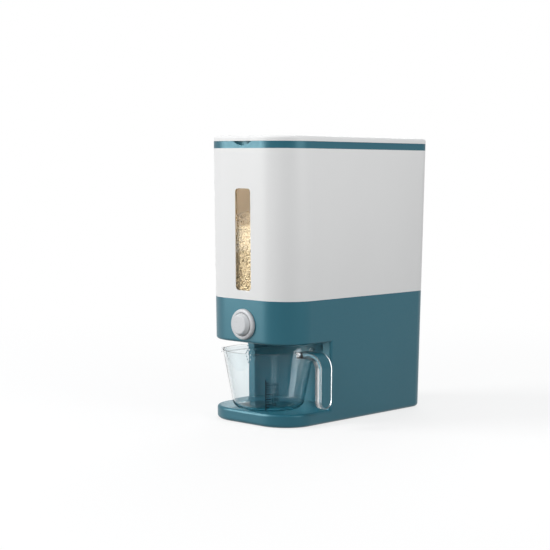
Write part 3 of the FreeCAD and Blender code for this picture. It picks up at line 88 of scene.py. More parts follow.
class NodeSheet:
    """A short way to lay out the nodes of one material or world."""

    def __init__(self, owner: bpy.types.ID) -> None:
        """Empties the owner's nodes.

        Args:
            owner: the new material or world.
        """
        owner.use_nodes = True
        self.owner = owner
        self.tree = owner.node_tree
        self.tree.nodes.clear()

    def add(self, kind: str, sockets: Optional[Sockets] = None, **values: object) -> bpy.types.Node:
        """Adds a node.

        Args:
            kind: the node's type name.
            sockets: a number, a colour or another node's socket for each input that is set, by the
                input's name or number.
            **values: attributes of the node.

        Returns:
            The new node.
        """
        node = self.tree.nodes.new(kind)
        for name, value in values.items():
            setattr(node, name, value)
        for socket, value in (sockets or {}).items():
            target = node.inputs[socket]
            if isinstance(value, Socket):
                self.tree.links.new(value, target)
            elif isinstance(value, tuple) and len(value) == 3 and target.type == "RGBA":
                target.default_value = (*value, 1.0)
            else:
                target.default_value = value
        return node

    def coordinates(self, stretch: Sequence[float] = (1.0, 1.0, 1.0)) -> Socket:
        """Object coordinates, stretched by a Mapping node.

        Args:
            stretch: scale on each axis.

        Returns:
            The mapped vector socket.
        """
        place = self.add("ShaderNodeTexCoord").outputs["Object"]
        mapping = self.add("ShaderNodeMapping", {"Vector": place, "Scale": tuple(stretch)})
        return mapping.outputs["Vector"]

    def noise(self, vector: Socket, scale: float, detail: float = 2.0) -> Socket:
        """A noise value between 0 and 1, of a scale in cells per metre and a detail in octaves."""
        sockets = {"Vector": vector, "Scale": scale, "Detail": detail}
        return self.add("ShaderNodeTexNoise", sockets).outputs["Fac"]

    def math(self, operation: str, first: object, second: object) -> Socket:
        """The Math node's result for two values, each a number or a socket."""
        return self.add("ShaderNodeMath", {0: first, 1: second}, operation=operation).outputs[0]

    def range(self, value: Socket, low: float, high: float, start: float = 0.0, end: float = 1.0) -> Socket:
        """The value, mapped from start..end to low..high and clamped."""
        sockets = {"Value": value, "From Min": start, "From Max": end, "To Min": low, "To Max": high}
        return self.add("ShaderNodeMapRange", sockets).outputs["Result"]

    def mix(self, factor: object, first: object, second: object) -> Socket:
        """A mix of two colours or sockets; the factor is the second one's share."""
        return self.add("ShaderNodeMix", {0: factor, 6: first, 7: second}, data_type="RGBA").outputs[2]

    def relief(
        self, height: Socket, strength: float, distance: float, below: Optional[Socket] = None
    ) -> Socket:
        """A bump from a height.

        Args:
            height: the height's socket.
            strength: share of the bump that shows.
            distance: height in metres at a value of one.
            below: a coarser bump that this one lies on.

        Returns:
            The normal's socket.
        """
        sockets = {"Height": height, "Strength": strength, "Distance": distance}
        if below is not None:
            sockets["Normal"] = below
        return self.add("ShaderNodeBump", sockets).outputs["Normal"]

    def surface(self, shader: bpy.types.Node) -> bpy.types.ID:
        """Links the last shader to a new output.

        Args:
            shader: the last shader node.

        Returns:
            The finished material or world.
        """
        kind = type(self.owner).__name__
        self.add(f"ShaderNodeOutput{kind}", {"Surface": shader.outputs[0]})
        return self.owner


# -------------------------------------------------------------------- finishes


@dataclass(frozen=True)
class Finish:
    """A material of one shader, whose inputs each kind of finish works out.

    Args:
        name: name of the finish.
    """

    name: str

    def build(self) -> bpy.types.Material:
        """Lays out the material."""
        sheet = NodeSheet(bpy.data.materials.new(self.name))
        return sheet.surface(sheet.add("ShaderNodeBsdfPrincipled", self.inputs(sheet)))

    def inputs(self, sheet: NodeSheet) -> Sockets:
        """Works out a value for each of the shader's inputs that is set."""
        raise NotImplementedError


@dataclass(frozen=True)
class MouldedPlastic(Finish):
    """Satin injection-moulded plastic with fine spark-eroded grain.

    Args:
        colour: the plastic's colour.
        shade: colour of the slightly deeper patches.
        dust: colour of dust and fine rubbing.
        roughness: middle roughness.
        specular: strength of the surface reflection.
        grain: height of the fine grain in metres.
        lining: colour of walls that face inwards: a tan film where the rice rubs them, and painted shade of
            the dim inside of the tank.
        gloss: colour of the surface reflection seen straight on.
    """

    colour: Colour
    shade: Colour
    dust: Colour = (0.78, 0.78, 0.76)
    roughness: float = 0.42
    specular: float = 0.45
    grain: float = 0.00004
    lining: Optional[Colour] = None
    gloss: Colour = (1.0, 1.0, 1.0)

    def facing_in(self, sheet: NodeSheet) -> Socket:
        """One on walls that face the upright middle line, and zero on the outside.

        Args:
            sheet: the material's node sheet.

        Returns:
            The value's socket.
        """
        source = sheet.add("ShaderNodeTexCoord").outputs
        flat = {0: source["Object"], 1: (1.0, 1.0, 0.0)}
        level = sheet.add("ShaderNodeVectorMath", flat, operation="MULTIPLY").outputs[0]
        pair = {0: level, 1: source["Normal"]}
        outward = sheet.add("ShaderNodeVectorMath", pair, operation="DOT_PRODUCT").outputs["Value"]
        return sheet.range(outward, low=1.0, high=0.0, start=-0.004, end=0.0)

    def inputs(self, sheet: NodeSheet) -> Sockets:
        """Works out the shader's inputs.

        Args:
            sheet: the material's node sheet.

        Returns:
            A value for each input that is set.
        """
        place = sheet.coordinates()
        fine = sheet.noise(place, scale=1900.0, detail=3.0)
        soft = sheet.noise(place, scale=420.0, detail=2.0)
        cloud = sheet.noise(sheet.coordinates((1.0, 1.0, 0.6)), scale=9.0, detail=3.0)
        scuff = sheet.noise(sheet.coordinates((1.0, 1.0, 5.0)), scale=160.0, detail=4.0)
        body = sheet.mix(sheet.range(cloud, low=0.0, high=1.0, start=0.3, end=0.7), self.colour, self.shade)
        # Inward walls turn darker tan: a rice-dust film and painted shade of the dim inside of the tank.
        if self.lining is not None:
            body = sheet.mix(self.facing_in(sheet), body, self.lining)
        rubbed = sheet.mix(sheet.range(scuff, low=0.0, high=0.10, start=0.62, end=0.80), body, self.dust)
        normal = sheet.add("ShaderNodeNewGeometry").outputs["Normal"]
        upward = sheet.add("ShaderNodeSeparateXYZ", {"Vector": normal}).outputs["Z"]
        level = sheet.range(upward, low=0.0, high=0.10, start=0.75, end=1.0)
        settled = sheet.math("MULTIPLY", level, sheet.range(cloud, low=0.3, high=1.0))
        low, high = self.roughness - 0.05, self.roughness + 0.06
        wave = sheet.relief(soft, strength=0.18, distance=self.grain * 1.6)
        return {
            "Base Color": sheet.mix(settled, rubbed, self.dust),
            "Roughness": sheet.range(soft, low=low, high=high, start=0.3, end=0.7),
            "Specular IOR Level": self.specular,
            "Specular Tint": self.gloss,
            "IOR": 1.49,
            "Normal": sheet.relief(fine, strength=0.30, distance=self.grain, below=wave),
        }


@dataclass(frozen=True)
class ClearPlastic(Finish):
    """Polished transparent plastic, with faint flow lines and fine scratches.

    Args:
        tint: colour of light that passes through.
        roughness: roughness of the polish.
        bend: index of refraction.
        gloss: colour and strength of the surface reflection.
        grip: where a finely textured grip starts along X, and its roughness.
    """

    tint: Colour
    roughness: float = 0.03
    bend: float = 1.45
    gloss: Colour = (0.42, 0.44, 0.46)
    grip: Optional[tuple[float, float]] = None

    def inputs(self, sheet: NodeSheet) -> Sockets:
        """Works out the shader's inputs.

        Args:
            sheet: the material's node sheet.

        Returns:
            A value for each input that is set.
        """
        flow = sheet.noise(sheet.coordinates((1.0, 1.0, 0.35)), scale=28.0, detail=2.0)
        scratch = sheet.noise(sheet.coordinates((1.0, 1.0, 9.0)), scale=240.0, detail=4.0)
        streak = sheet.range(flow, low=0.0, high=1.0, start=0.35, end=0.65)
        deeper = tuple(0.93 * value for value in self.tint)
        dull = sheet.range(scratch, low=self.roughness, high=self.roughness + 0.10, start=0.60, end=0.85)
        if self.grip is not None:
            start, rough = self.grip
            place = sheet.add("ShaderNodeTexCoord").outputs["Object"]
            across = sheet.add("ShaderNodeSeparateXYZ", {"Vector": place}).outputs["X"]
            held = sheet.range(across, low=0.0, high=rough, start=start, end=start + 0.006)
            dull = sheet.math("MAXIMUM", dull, held)
        return {
            "Base Color": sheet.mix(streak, self.tint, deeper),
            "Roughness": dull,
            "Transmission Weight": 1.0,
            "IOR": self.bend,
            "Specular Tint": self.gloss,
            "Normal": sheet.relief(flow, strength=0.25, distance=0.0006),
        }


@dataclass(frozen=True)
class Steel(Finish):
    """Plain stainless steel with a drawn grain.

    Args:
        colour: the metal's colour.
        roughness: middle roughness.
    """

    colour: Colour = (0.60, 0.60, 0.62)
    roughness: float = 0.28

    def inputs(self, sheet: NodeSheet) -> Sockets:
        """Works out the shader's inputs.

        Args:
            sheet: the material's node sheet.

        Returns:
            A value for each input that is set.
        """
        drawn = sheet.noise(sheet.coordinates((1.0, 9.0, 1.0)), scale=900.0, detail=3.0)
        cloud = sheet.noise(sheet.coordinates(), scale=120.0, detail=2.0)
        share = sheet.range(cloud, low=0.0, high=1.0, start=0.3, end=0.7)
        darker = tuple(0.75 * value for value in self.colour)
        low, high = self.roughness - 0.08, self.roughness + 0.12
        return {
            "Base Color": sheet.mix(share, self.colour, darker),
            "Metallic": 1.0,
            "Roughness": sheet.range(drawn, low=low, high=high, start=0.3, end=0.7),
            "Normal": sheet.relief(drawn, strength=0.2, distance=0.00003),
        }


@dataclass(frozen=True)
class Silicone(Finish):
    """Soft matt silicone rubber.

    Args:
        colour: the rubber's colour.
    """

    colour: Colour = (0.62, 0.62, 0.60)

    def inputs(self, sheet: NodeSheet) -> Sockets:
        """Works out the shader's inputs.

        Args:
            sheet: the material's node sheet.

        Returns:
            A value for each input that is set.
        """
        place = sheet.coordinates()
        grain = sheet.noise(place, scale=1400.0, detail=3.0)
        lint = sheet.noise(place, scale=260.0, detail=4.0)
        share = sheet.range(lint, low=0.0, high=1.0, start=0.55, end=0.75)
        paler = tuple(min(1.0, 1.2 * value) for value in self.colour)
        return {
            "Base Color": sheet.mix(share, self.colour, paler),
            "Roughness": sheet.range(grain, low=0.62, high=0.80),
            "Sheen Weight": 0.15,
            "Normal": sheet.relief(grain, strength=0.4, distance=0.00004),
        }


@dataclass(frozen=True)
class Grain(Finish):
    """Husked rice: pearly kernels that differ a little from one to the next.

    Args:
        pearl: colour of the palest kernels.
        straw: colour of the deepest kernels.
        cells: kernels per metre, for a bulk surface; zero for kernels that are modelled.
    """

    pearl: Colour
    straw: Colour
    cells: float = 0.0

    def inputs(self, sheet: NodeSheet) -> Sockets:
        """Works out the shader's inputs.

        Args:
            sheet: the material's node sheet.

        Returns:
            A value for each input that is set.
        """
        if self.cells:
            layout = {"Vector": sheet.coordinates((1.0, 1.0, 1.7)), "Scale": self.cells}
            grains = sheet.add("ShaderNodeTexVoronoi", layout).outputs
            each = sheet.add("ShaderNodeSeparateColor", {"Color": grains["Color"]}).outputs[0]
            height = sheet.range(grains["Distance"], low=1.0, high=0.0, start=0.0, end=0.8)
            # Towards the cell edges the colour darkens to half the straw tone: painted shade in the gaps
            # between kernels.
            gap = sheet.range(grains["Distance"], low=0.0, high=0.75, start=0.35, end=0.75)
            tone = sheet.mix(each, self.pearl, self.straw)
            colour = sheet.mix(gap, tone, tuple(0.5 * value for value in self.straw))
            bump = sheet.relief(height, strength=0.8, distance=0.0012)
        else:
            each = sheet.noise(sheet.coordinates(), scale=330.0, detail=1.0)
            fleck = sheet.noise(sheet.coordinates(), scale=1500.0, detail=2.0)
            share = sheet.range(each, low=0.0, high=1.0, start=0.35, end=0.65)
            tone = sheet.mix(share, self.pearl, self.straw)
            colour = sheet.mix(sheet.range(fleck, low=0.0, high=0.35, start=0.55, end=0.75), tone, self.pearl)
            bump = sheet.relief(fleck, strength=0.3, distance=0.00006)
        return {"Base Color": colour, "Roughness": 0.48, "Normal": bump}


@dataclass(frozen=True)
class Ink(Finish):
    """Screen-printed ink, a little worn.

    Args:
        colour: the ink's colour.
    """

    colour: Colour = (0.006, 0.007, 0.008)

    def inputs(self, sheet: NodeSheet) -> Sockets:
        """Works out the shader's inputs.

        Args:
            sheet: the material's node sheet.

        Returns:
            A value for each input that is set.
        """
        wear = sheet.noise(sheet.coordinates(), scale=900.0, detail=3.0)
        share = sheet.range(wear, low=0.0, high=1.0, start=0.55, end=0.75)
        faded = tuple(value + 0.03 for value in self.colour)
        return {
            "Base Color": sheet.mix(share, self.colour, faded),
            "Roughness": sheet.range(wear, low=0.45, high=0.7),
            "Specular IOR Level": 0.15,
            "Normal": sheet.relief(wear, strength=0.2, distance=0.00002),
        }


TEAL = MouldedPlastic(
    "teal_plastic",
    (0.014, 0.110, 0.156),
    (0.012, 0.100, 0.144),
    dust=(0.06, 0.18, 0.22),
    roughness=0.35,
    specular=0.85,
    gloss=(0.50, 0.90, 1.0),
)
DEEP_TEAL = MouldedPlastic(
    "deep_teal_plastic", (0.018, 0.115, 0.158), (0.016, 0.105, 0.146), dust=(0.12, 0.22, 0.27), roughness=0.5
)
WHITE = MouldedPlastic(
    "white_plastic", (0.86, 0.86, 0.855), (0.84, 0.84, 0.835), roughness=0.46, specular=0.30
)
# The tank's inward walls are darker tan: a rice-dust film and painted shade of the dim inside.
TANK = replace(WHITE, name="tank_plastic", lining=(0.68, 0.60, 0.48))
INNER = MouldedPlastic("inner_plastic", (0.76, 0.76, 0.75), (0.72, 0.72, 0.71), roughness=0.46)
BUTTON = MouldedPlastic(
    "button_plastic", (0.66, 0.67, 0.685), (0.63, 0.64, 0.655), roughness=0.30, specular=0.45, grain=0.00001
)
CLEAR = ClearPlastic(
    "clear_plastic", (0.93, 0.97, 0.98), roughness=0.02, gloss=(0.24, 0.27, 0.29), grip=(0.0625, 0.26)
)
STRAINER = ClearPlastic(
    "strainer_plastic", (0.94, 0.96, 0.97), roughness=0.05, bend=1.05, gloss=(0.28, 0.31, 0.33)
)
AMBER = ClearPlastic("amber_plastic", (0.94, 0.85, 0.66), roughness=0.03, gloss=(0.06, 0.055, 0.045))
STEEL = Steel("plain_steel")
SILICONE = Silicone("silicone_rubber")
FOOT = Silicone("foot_rubber", (0.10, 0.10, 0.105))
KERNEL = Grain("rice_kernels", (0.76, 0.725, 0.67), (0.64, 0.575, 0.50))
# The heap's colours are darker than the loose kernels': painted shade among the packed kernels of the bulk.
HEAP = Grain("rice_heap", (0.68, 0.63, 0.545), (0.53, 0.465, 0.37), cells=300.0)
PRINT = Ink("scale_ink")

DRESS = {
    TEAL: ("base_housing", "top_collar", "handle_insert"),
    DEEP_TEAL: ("bottom_cover",),
    WHITE: ("lid_cover",),
    TANK: ("tank_shell",),
    INNER: ("hopper_funnel", "lid_inner", "valve_housing", "outlet_chute", "push_rod", "shutter_plate"),
    BUTTON: ("button_bezel", "button_cap"),
    CLEAR: ("cup_body",),
    STRAINER: ("strainer_plate",),
    AMBER: ("window_pane",),
    STEEL: (
        "cover_screws",
        "tank_screws",
        "hopper_screws",
        "housing_screws",
        "hinge_pins",
        "return_spring",
        "spring_guide",
        "rod_pin",
    ),
    SILICONE: ("throat_seal", "window_seal", "lid_gasket"),
    FOOT: ("rubber_feet",),
}


# ---------------------------------------------------------- modelling helpers


def clear_selection() -> None:
    """Deselects every object."""
    bpy.ops.object.select_all(action="DESELECT")


def activate(piece: Piece) -> None:
    """Selects one piece and makes it active.

    Args:
        piece: the piece.
    """
    clear_selection()
    piece.select_set(True)
    bpy.context.view_layer.objects.active = piece


@contextmanager
def editing(piece: Piece, everything: bool = True) -> Iterator[None]:
    """Holds one piece in edit mode.

    Args:
        piece: the piece.
        everything: whether all of it is selected at the start, or nothing.

    Yields:
        Nothing.
    """
    activate(piece)
    bpy.ops.object.mode_set(mode="EDIT")
    bpy.ops.mesh.select_all(action="SELECT" if everything else "DESELECT")
    yield
    bpy.ops.object.mode_set(mode="OBJECT")


def settle(piece: Piece) -> None:
    """Moves a piece's place into its mesh."""
    activate(piece)
    bpy.ops.object.transform_apply(location=True, rotation=True, scale=True)


def finish_piece(piece: Piece, name: str, body: Body, finish: bpy.types.Material) -> None:
    """Names, dresses and mounts a finished piece.

    Args:
        piece: the piece.
        name: its name.
        body: the body that it moves with.
        finish: its material.
    """
    piece.name = name
    piece.data.name = name
    piece.data.materials.clear()
    piece.data.materials.append(finish)
    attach(piece, body.value)
    log.info("%s: %d faces", name, len(piece.data.polygons))


# --------------------------------------------------------------- the dispenser


@dataclass
class Housing:
    """The moulded and clear parts that come from the frame, each with its finish."""

    nodes: dict[str, Piece]

    def dress(self) -> None:
        """Gives every node its finish; clear parts let the lamps' light through."""
        for finish, names in DRESS.items():
            material = finish.build()
            for name in names:
                node = self.nodes[name]
                node.data.materials.clear()
                node.data.materials.append(material)
                node.visible_shadow = not isinstance(finish, ClearPlastic)
                log.info("%s: %s", name, finish.name)


@dataclass
class TankOutline:
    """The tapered inside of the tank; lengths are in metres."""

    width: float = 0.1587
    depth: float = 0.3032
    height: float = 0.376
    side_draft: float = 0.00246
    end_draft: float = 0.00719
    wall: float = 0.0026

    def half_width(self, z: float, gap: float = 0.0) -> float:
        """Half of the inner width at a height, less a gap."""
        return self.width / 2 - self.side_draft * (1 - z / self.height) - self.wall - gap

    def half_depth(self, z: float, gap: float = 0.0) -> float:
        """Half of the inner depth at a height, less a gap."""
        return self.depth / 2 - self.end_draft * (1 - z / self.height) - self.wall - gap


@dataclass
class RiceFill:
    """The rice in the tank: a mounded bulk, loose kernels on top and kernels against the window.

    Lengths are in metres and turns in radians. The throat is given by half its width, its front, its
    rear and its height, and the slopes down to it by their rise over run: front, sides and rear. An
    area or edge of the top is half its width, its front and its rear. A corner is the middle of its
    rounding and how far a kernel may lie from it. The window is half its width, its foot and its head.
    """

    tank: TankOutline = field(default_factory=TankOutline)
    edge_level: float = 0.2575
    mound_rise: float = 0.033
    mound_reach: float = 0.125
    mound_centre: tuple[float, float] = (0.0, -0.022)
    rear_start: float = -0.040
    rear_run: float = 0.170
    rear_rise: float = 0.037
    edge_dip: float = 0.12
    ripple_height: float = 0.0012
    ripple_across: tuple[float, float] = (95.0, 1.3)
    ripple_along: float = 71.0
    side_gap: float = 0.0007
    front_gap: float = 0.0050
    bulk_low: float = 0.140
    bulk_high: float = 0.345
    front_radius: float = 0.0425
    rear_radius: float = 0.0165
    throat: tuple[float, float, float, float] = (0.022, -0.1025, -0.0935, 0.1465)
    slopes: tuple[float, float, float] = (0.70, 1.0, 0.55)
    mound_span: tuple[float, float] = (0.17, 0.33)
    mound_cells: tuple[int, int] = (48, 90)
    mound_depth: float = 0.2
    kernel_size: tuple[float, float, float] = (0.0064, 0.0023, 0.0019)
    germ_start: float = 0.42
    germ_shift: float = 0.0004
    kernel_spread: float = 0.06
    top_kernels: int = 5200
    top_area: tuple[float, float, float] = (0.0735, -0.1430, 0.1460)
    top_edge: tuple[float, float, float] = (0.0715, -0.1405, 0.1435)
    front_corner: tuple[float, float, float] = (0.0310, -0.1010, 0.0400)
    rear_corner: tuple[float, float, float] = (0.0560, 0.1290, 0.0150)
    top_lift: tuple[float, float] = (-0.0004, 0.0006)
    top_tilt: float = 0.28
    window_kernels: int = 860
    window: tuple[float, float, float] = (0.0212, 0.1765, 0.2605)
    window_depth: float = 0.0037
    window_layer: float = 0.0014
    window_tilt: float = 0.12
    seed: int = 11

    def build(self) -> None:
        """Builds the bulk and both layers of kernels."""
        kernel = self.make_kernel()
        heap = HEAP.build()
        loose = KERNEL.build()
        finish_piece(self.make_bulk(), "rice_bulk", Body.ROOT, heap)
        for name, places in (
            ("rice_top_kernels", self.top_places),
            ("rice_window_kernels", self.window_places),
        ):
            finish_piece(self.scatter(kernel, *places()), name, Body.ROOT, loose)
        bpy.data.objects.remove(kernel)

    def level(self, x: np.ndarray, y: np.ndarray) -> np.ndarray:
        """Height of the rice at points of the plan; it stands higher behind, away from the throat.

        Args:
            x: places across.
            y: places along.

        Returns:
            The heights.
        """
        away = np.hypot(x - self.mound_centre[0], y - self.mound_centre[1]) / self.mound_reach
        waves, shift = self.ripple_across
        ripple = self.ripple_height * np.sin(x * waves + shift) * np.cos(y * self.ripple_along)
        behind = np.clip((y - self.rear_start) / self.rear_run, 0.0, 1.0)
        slope = self.rear_rise * behind**2 * (3.0 - 2.0 * behind)
        mound = self.mound_rise * np.clip(1.0 - away**2, -self.edge_dip, 1.0)
        return self.edge_level + mound + slope + ripple

    def make_bulk(self) -> Piece:
        """The bulk: the tank's tapered block, cut by the hopper's slopes and by the mounded top.

        Returns:
            The bulk.
        """
        middle = (self.bulk_low + self.bulk_high) / 2
        half_height = (self.bulk_high - self.bulk_low) / 2
        clear_selection()
        bpy.ops.mesh.primitive_cube_add(size=2.0, location=(0.0, 0.0, middle), scale=(1.0, 1.0, half_height))
        block = bpy.context.object
        settle(block)
        shape = bmesh.new()
        shape.from_mesh(block.data)
        for corner in shape.verts:
            z = corner.co.z
            front = self.tank.half_depth(z, self.front_gap)
            rear = self.tank.half_depth(z, self.side_gap)
            corner.co.x *= self.tank.half_width(z, self.side_gap)
            corner.co.y *= rear if corner.co.y > 0 else front
        shape.to_mesh(block.data)
        shape.free()
        self.round_uprights(block, True, self.front_radius)
        self.round_uprights(block, False, self.rear_radius)
        half, near, far, base = self.throat
        front_slope, side_slope, rear_slope = self.slopes
        cuts = (
            ((0.0, near, base), (0.0, -front_slope, -1.0)),
            ((half, 0.0, base), (side_slope, 0.0, -1.0)),
            ((-half, 0.0, base), (-side_slope, 0.0, -1.0)),
            ((0.0, far, base), (0.0, rear_slope, -1.0)),
        )
        for place, normal in cuts:
            with editing(block):
                bpy.ops.mesh.bisect(plane_co=place, plane_no=normal, use_fill=True, clear_outer=True)
        mound = self.make_mound()
        activate(block)
        trim = block.modifiers.new("mound", "BOOLEAN")
        trim.operation = "INTERSECT"
        trim.object = mound
        trim.solver = "EXACT"
        bpy.ops.object.modifier_apply(modifier=trim.name)
        bpy.data.objects.remove(mound)
        return block

    def round_uprights(self, block: Piece, front: bool, radius: float) -> None:
        """Rounds the block's upright edges at one end.

        Args:
            block: the block.
            front: whether the front or the rear edges are rounded.
            radius: the radius.
        """
        with editing(block, everything=False):
            bpy.ops.mesh.select_mode(type="EDGE")
            shape = bmesh.from_edit_mesh(block.data)
            for edge in shape.edges:
                first, second = (corner.co for corner in edge.verts)
                upright = abs(first.z - second.z) > (self.bulk_high - self.bulk_low) / 2
                edge.select_set(upright and (first.y < 0) == front)
            bmesh.update_edit_mesh(block.data)
            bpy.ops.mesh.bevel(offset=radius, offset_type="OFFSET", segments=10, affect="EDGES")

    def make_mound(self) -> Piece:
        """A block under the mounded top.

        Returns:
            The block, which reaches past the tank's walls.
        """
        across, along = self.mound_cells
        clear_selection()
        bpy.ops.mesh.primitive_grid_add(x_subdivisions=across, y_subdivisions=along, size=1.0)
        mound = bpy.context.object
        mound.scale = (*self.mound_span, 1.0)
        settle(mound)
        for corner in mound.data.vertices:
            corner.co.z = float(self.level(corner.co.x, corner.co.y))
        with editing(mound):
            bpy.ops.mesh.extrude_region_move(TRANSFORM_OT_translate={"value": (0.0, 0.0, -self.mound_depth)})
            bpy.ops.mesh.select_all(action="SELECT")
            bpy.ops.mesh.normals_make_consistent(inside=False)
        return mound

    def make_kernel(self) -> Piece:
        """One kernel: a slim pointed ellipsoid with a flattened germ end.

        Returns:
            The kernel, along X.
        """
        length, width, height = self.kernel_size
        turned = (0.0, math.pi / 2, 0.0)
        clear_selection()
        bpy.ops.mesh.primitive_uv_sphere_add(segments=6, ring_count=4, radius=0.5, rotation=turned)
        kernel = bpy.context.object
        kernel.scale = (height, width, length)
        settle(kernel)
        with editing(kernel, everything=False):
            bpy.ops.mesh.select_mode(type="VERT")
            shape = bmesh.from_edit_mesh(kernel.data)
            for corner in shape.verts:
                corner.select_set(corner.co.x > self.germ_start * length)
            bmesh.update_edit_mesh(kernel.data)
            bpy.ops.transform.translate(value=(-self.germ_shift, self.germ_shift, 0.0))
        bpy.ops.object.shade_smooth()
        return kernel

    def within(self, x: np.ndarray, y: np.ndarray) -> np.ndarray:
        """Which points of the plan are clear of the tank's walls and rounded corners.

        Args:
            x: places across.
            y: places along.

        Returns:
            True where a kernel fits.
        """
        half, near, far = self.top_edge
        front_x, front_y, front_reach = self.front_corner
        rear_x, rear_y, rear_reach = self.rear_corner
        front = np.hypot(np.maximum(np.abs(x) - front_x, 0), np.maximum(front_y - y, 0)) < front_reach
        rear = np.hypot(np.maximum(np.abs(x) - rear_x, 0), np.maximum(y - rear_y, 0)) < rear_reach
        return front & rear & (np.abs(x) < half) & (y > near) & (y < far)

    def turns(
        self, chance: np.random.Generator, count: int, about_z: Optional[float], about_y: Optional[float]
    ) -> np.ndarray:
        """Turns of kernels: any turn about an axis, or a small one where a spread is given.

        Args:
            chance: the source of the random numbers.
            count: how many kernels.
            about_z: spread of the turn about Z, or none for any turn.
            about_y: spread of the turn about Y, or none for any turn.

        Returns:
            Turns about Z, Y and X for each kernel.
        """
        columns = []
        for spread in (about_z, about_y, None):
            if spread is None:
                columns.append(chance.uniform(0, math.tau, count))
            else:
                columns.append(chance.normal(0, spread, count))
        return np.column_stack(columns)

    def top_places(self) -> tuple[np.ndarray, np.ndarray]:
        """Places and turns of the kernels on the mound.

        Returns:
            Points, and turns about Z, then Y, then X.
        """
        chance = np.random.default_rng(self.seed)
        half, near, far = self.top_area
        x = chance.uniform(-half, half, self.top_kernels * 2)
        y = chance.uniform(near, far, self.top_kernels * 2)
        z = self.level(x, y) + chance.uniform(*self.top_lift, len(x))
        places = np.column_stack((x, y, z))[self.within(x, y)][: self.top_kernels]
        return places, self.turns(chance, len(places), None, self.top_tilt)

    def window_places(self) -> tuple[np.ndarray, np.ndarray]:
        """Places and turns of the kernels that lie against the window.

        Returns:
            Points, and turns about Z, then Y, then X.
        """
        chance = np.random.default_rng(self.seed + 1)
        half, low, high = self.window
        x = chance.uniform(-half, half, self.window_kernels)
        z = chance.uniform(low, high, self.window_kernels)
        wall = np.array([self.tank.half_depth(value) for value in z])
        y = self.window_depth - wall + chance.uniform(0.0, self.window_layer, self.window_kernels)
        return np.column_stack((x, y, z)), self.turns(chance, self.window_kernels, self.window_tilt, None)

    def scatter(self, kernel: Piece, places: np.ndarray, turns: np.ndarray) -> Piece:
        """Copies of the kernel at many places, as one mesh.

        Args:
            kernel: the kernel that is copied.
            places: one point for each copy.
            turns: turns about Z, Y and X for each copy.

        Returns:
            The joined copies.
        """
        source = kernel.data
        corners = np.array([tuple(corner.co) for corner in source.vertices])
        # A sphere's faces come in another order in each run, so they are sorted.
        faces = sorted(tuple(face.vertices) for face in source.polygons)
        chance = np.random.default_rng(self.seed + 7)
        sizes = chance.normal(1.0, self.kernel_spread, len(places))
        points = np.empty((len(places), len(corners), 3))
        for index, (about_z, about_y, about_x) in enumerate(turns):
            turn = Matrix.Rotation(about_z, 3, "Z") @ Matrix.Rotation(about_y, 3, "Y")
            turn = turn @ Matrix.Rotation(about_x, 3, "X")
            points[index] = corners @ np.array(turn).T * sizes[index] + places[index]
        mesh = bpy.data.meshes.new("kernels")
        firsts = range(0, len(places) * len(corners), len(corners))
        every = [tuple(corner + first for corner in face) for first in firsts for face in faces]
        mesh.from_pydata(points.reshape(-1, 3).tolist(), [], every)
        mesh.polygons.foreach_set("use_smooth", [True] * len(mesh.polygons))
        piece = bpy.data.objects.new("kernels", mesh)
        bpy.context.scene.collection.objects.link(piece)
        return piece


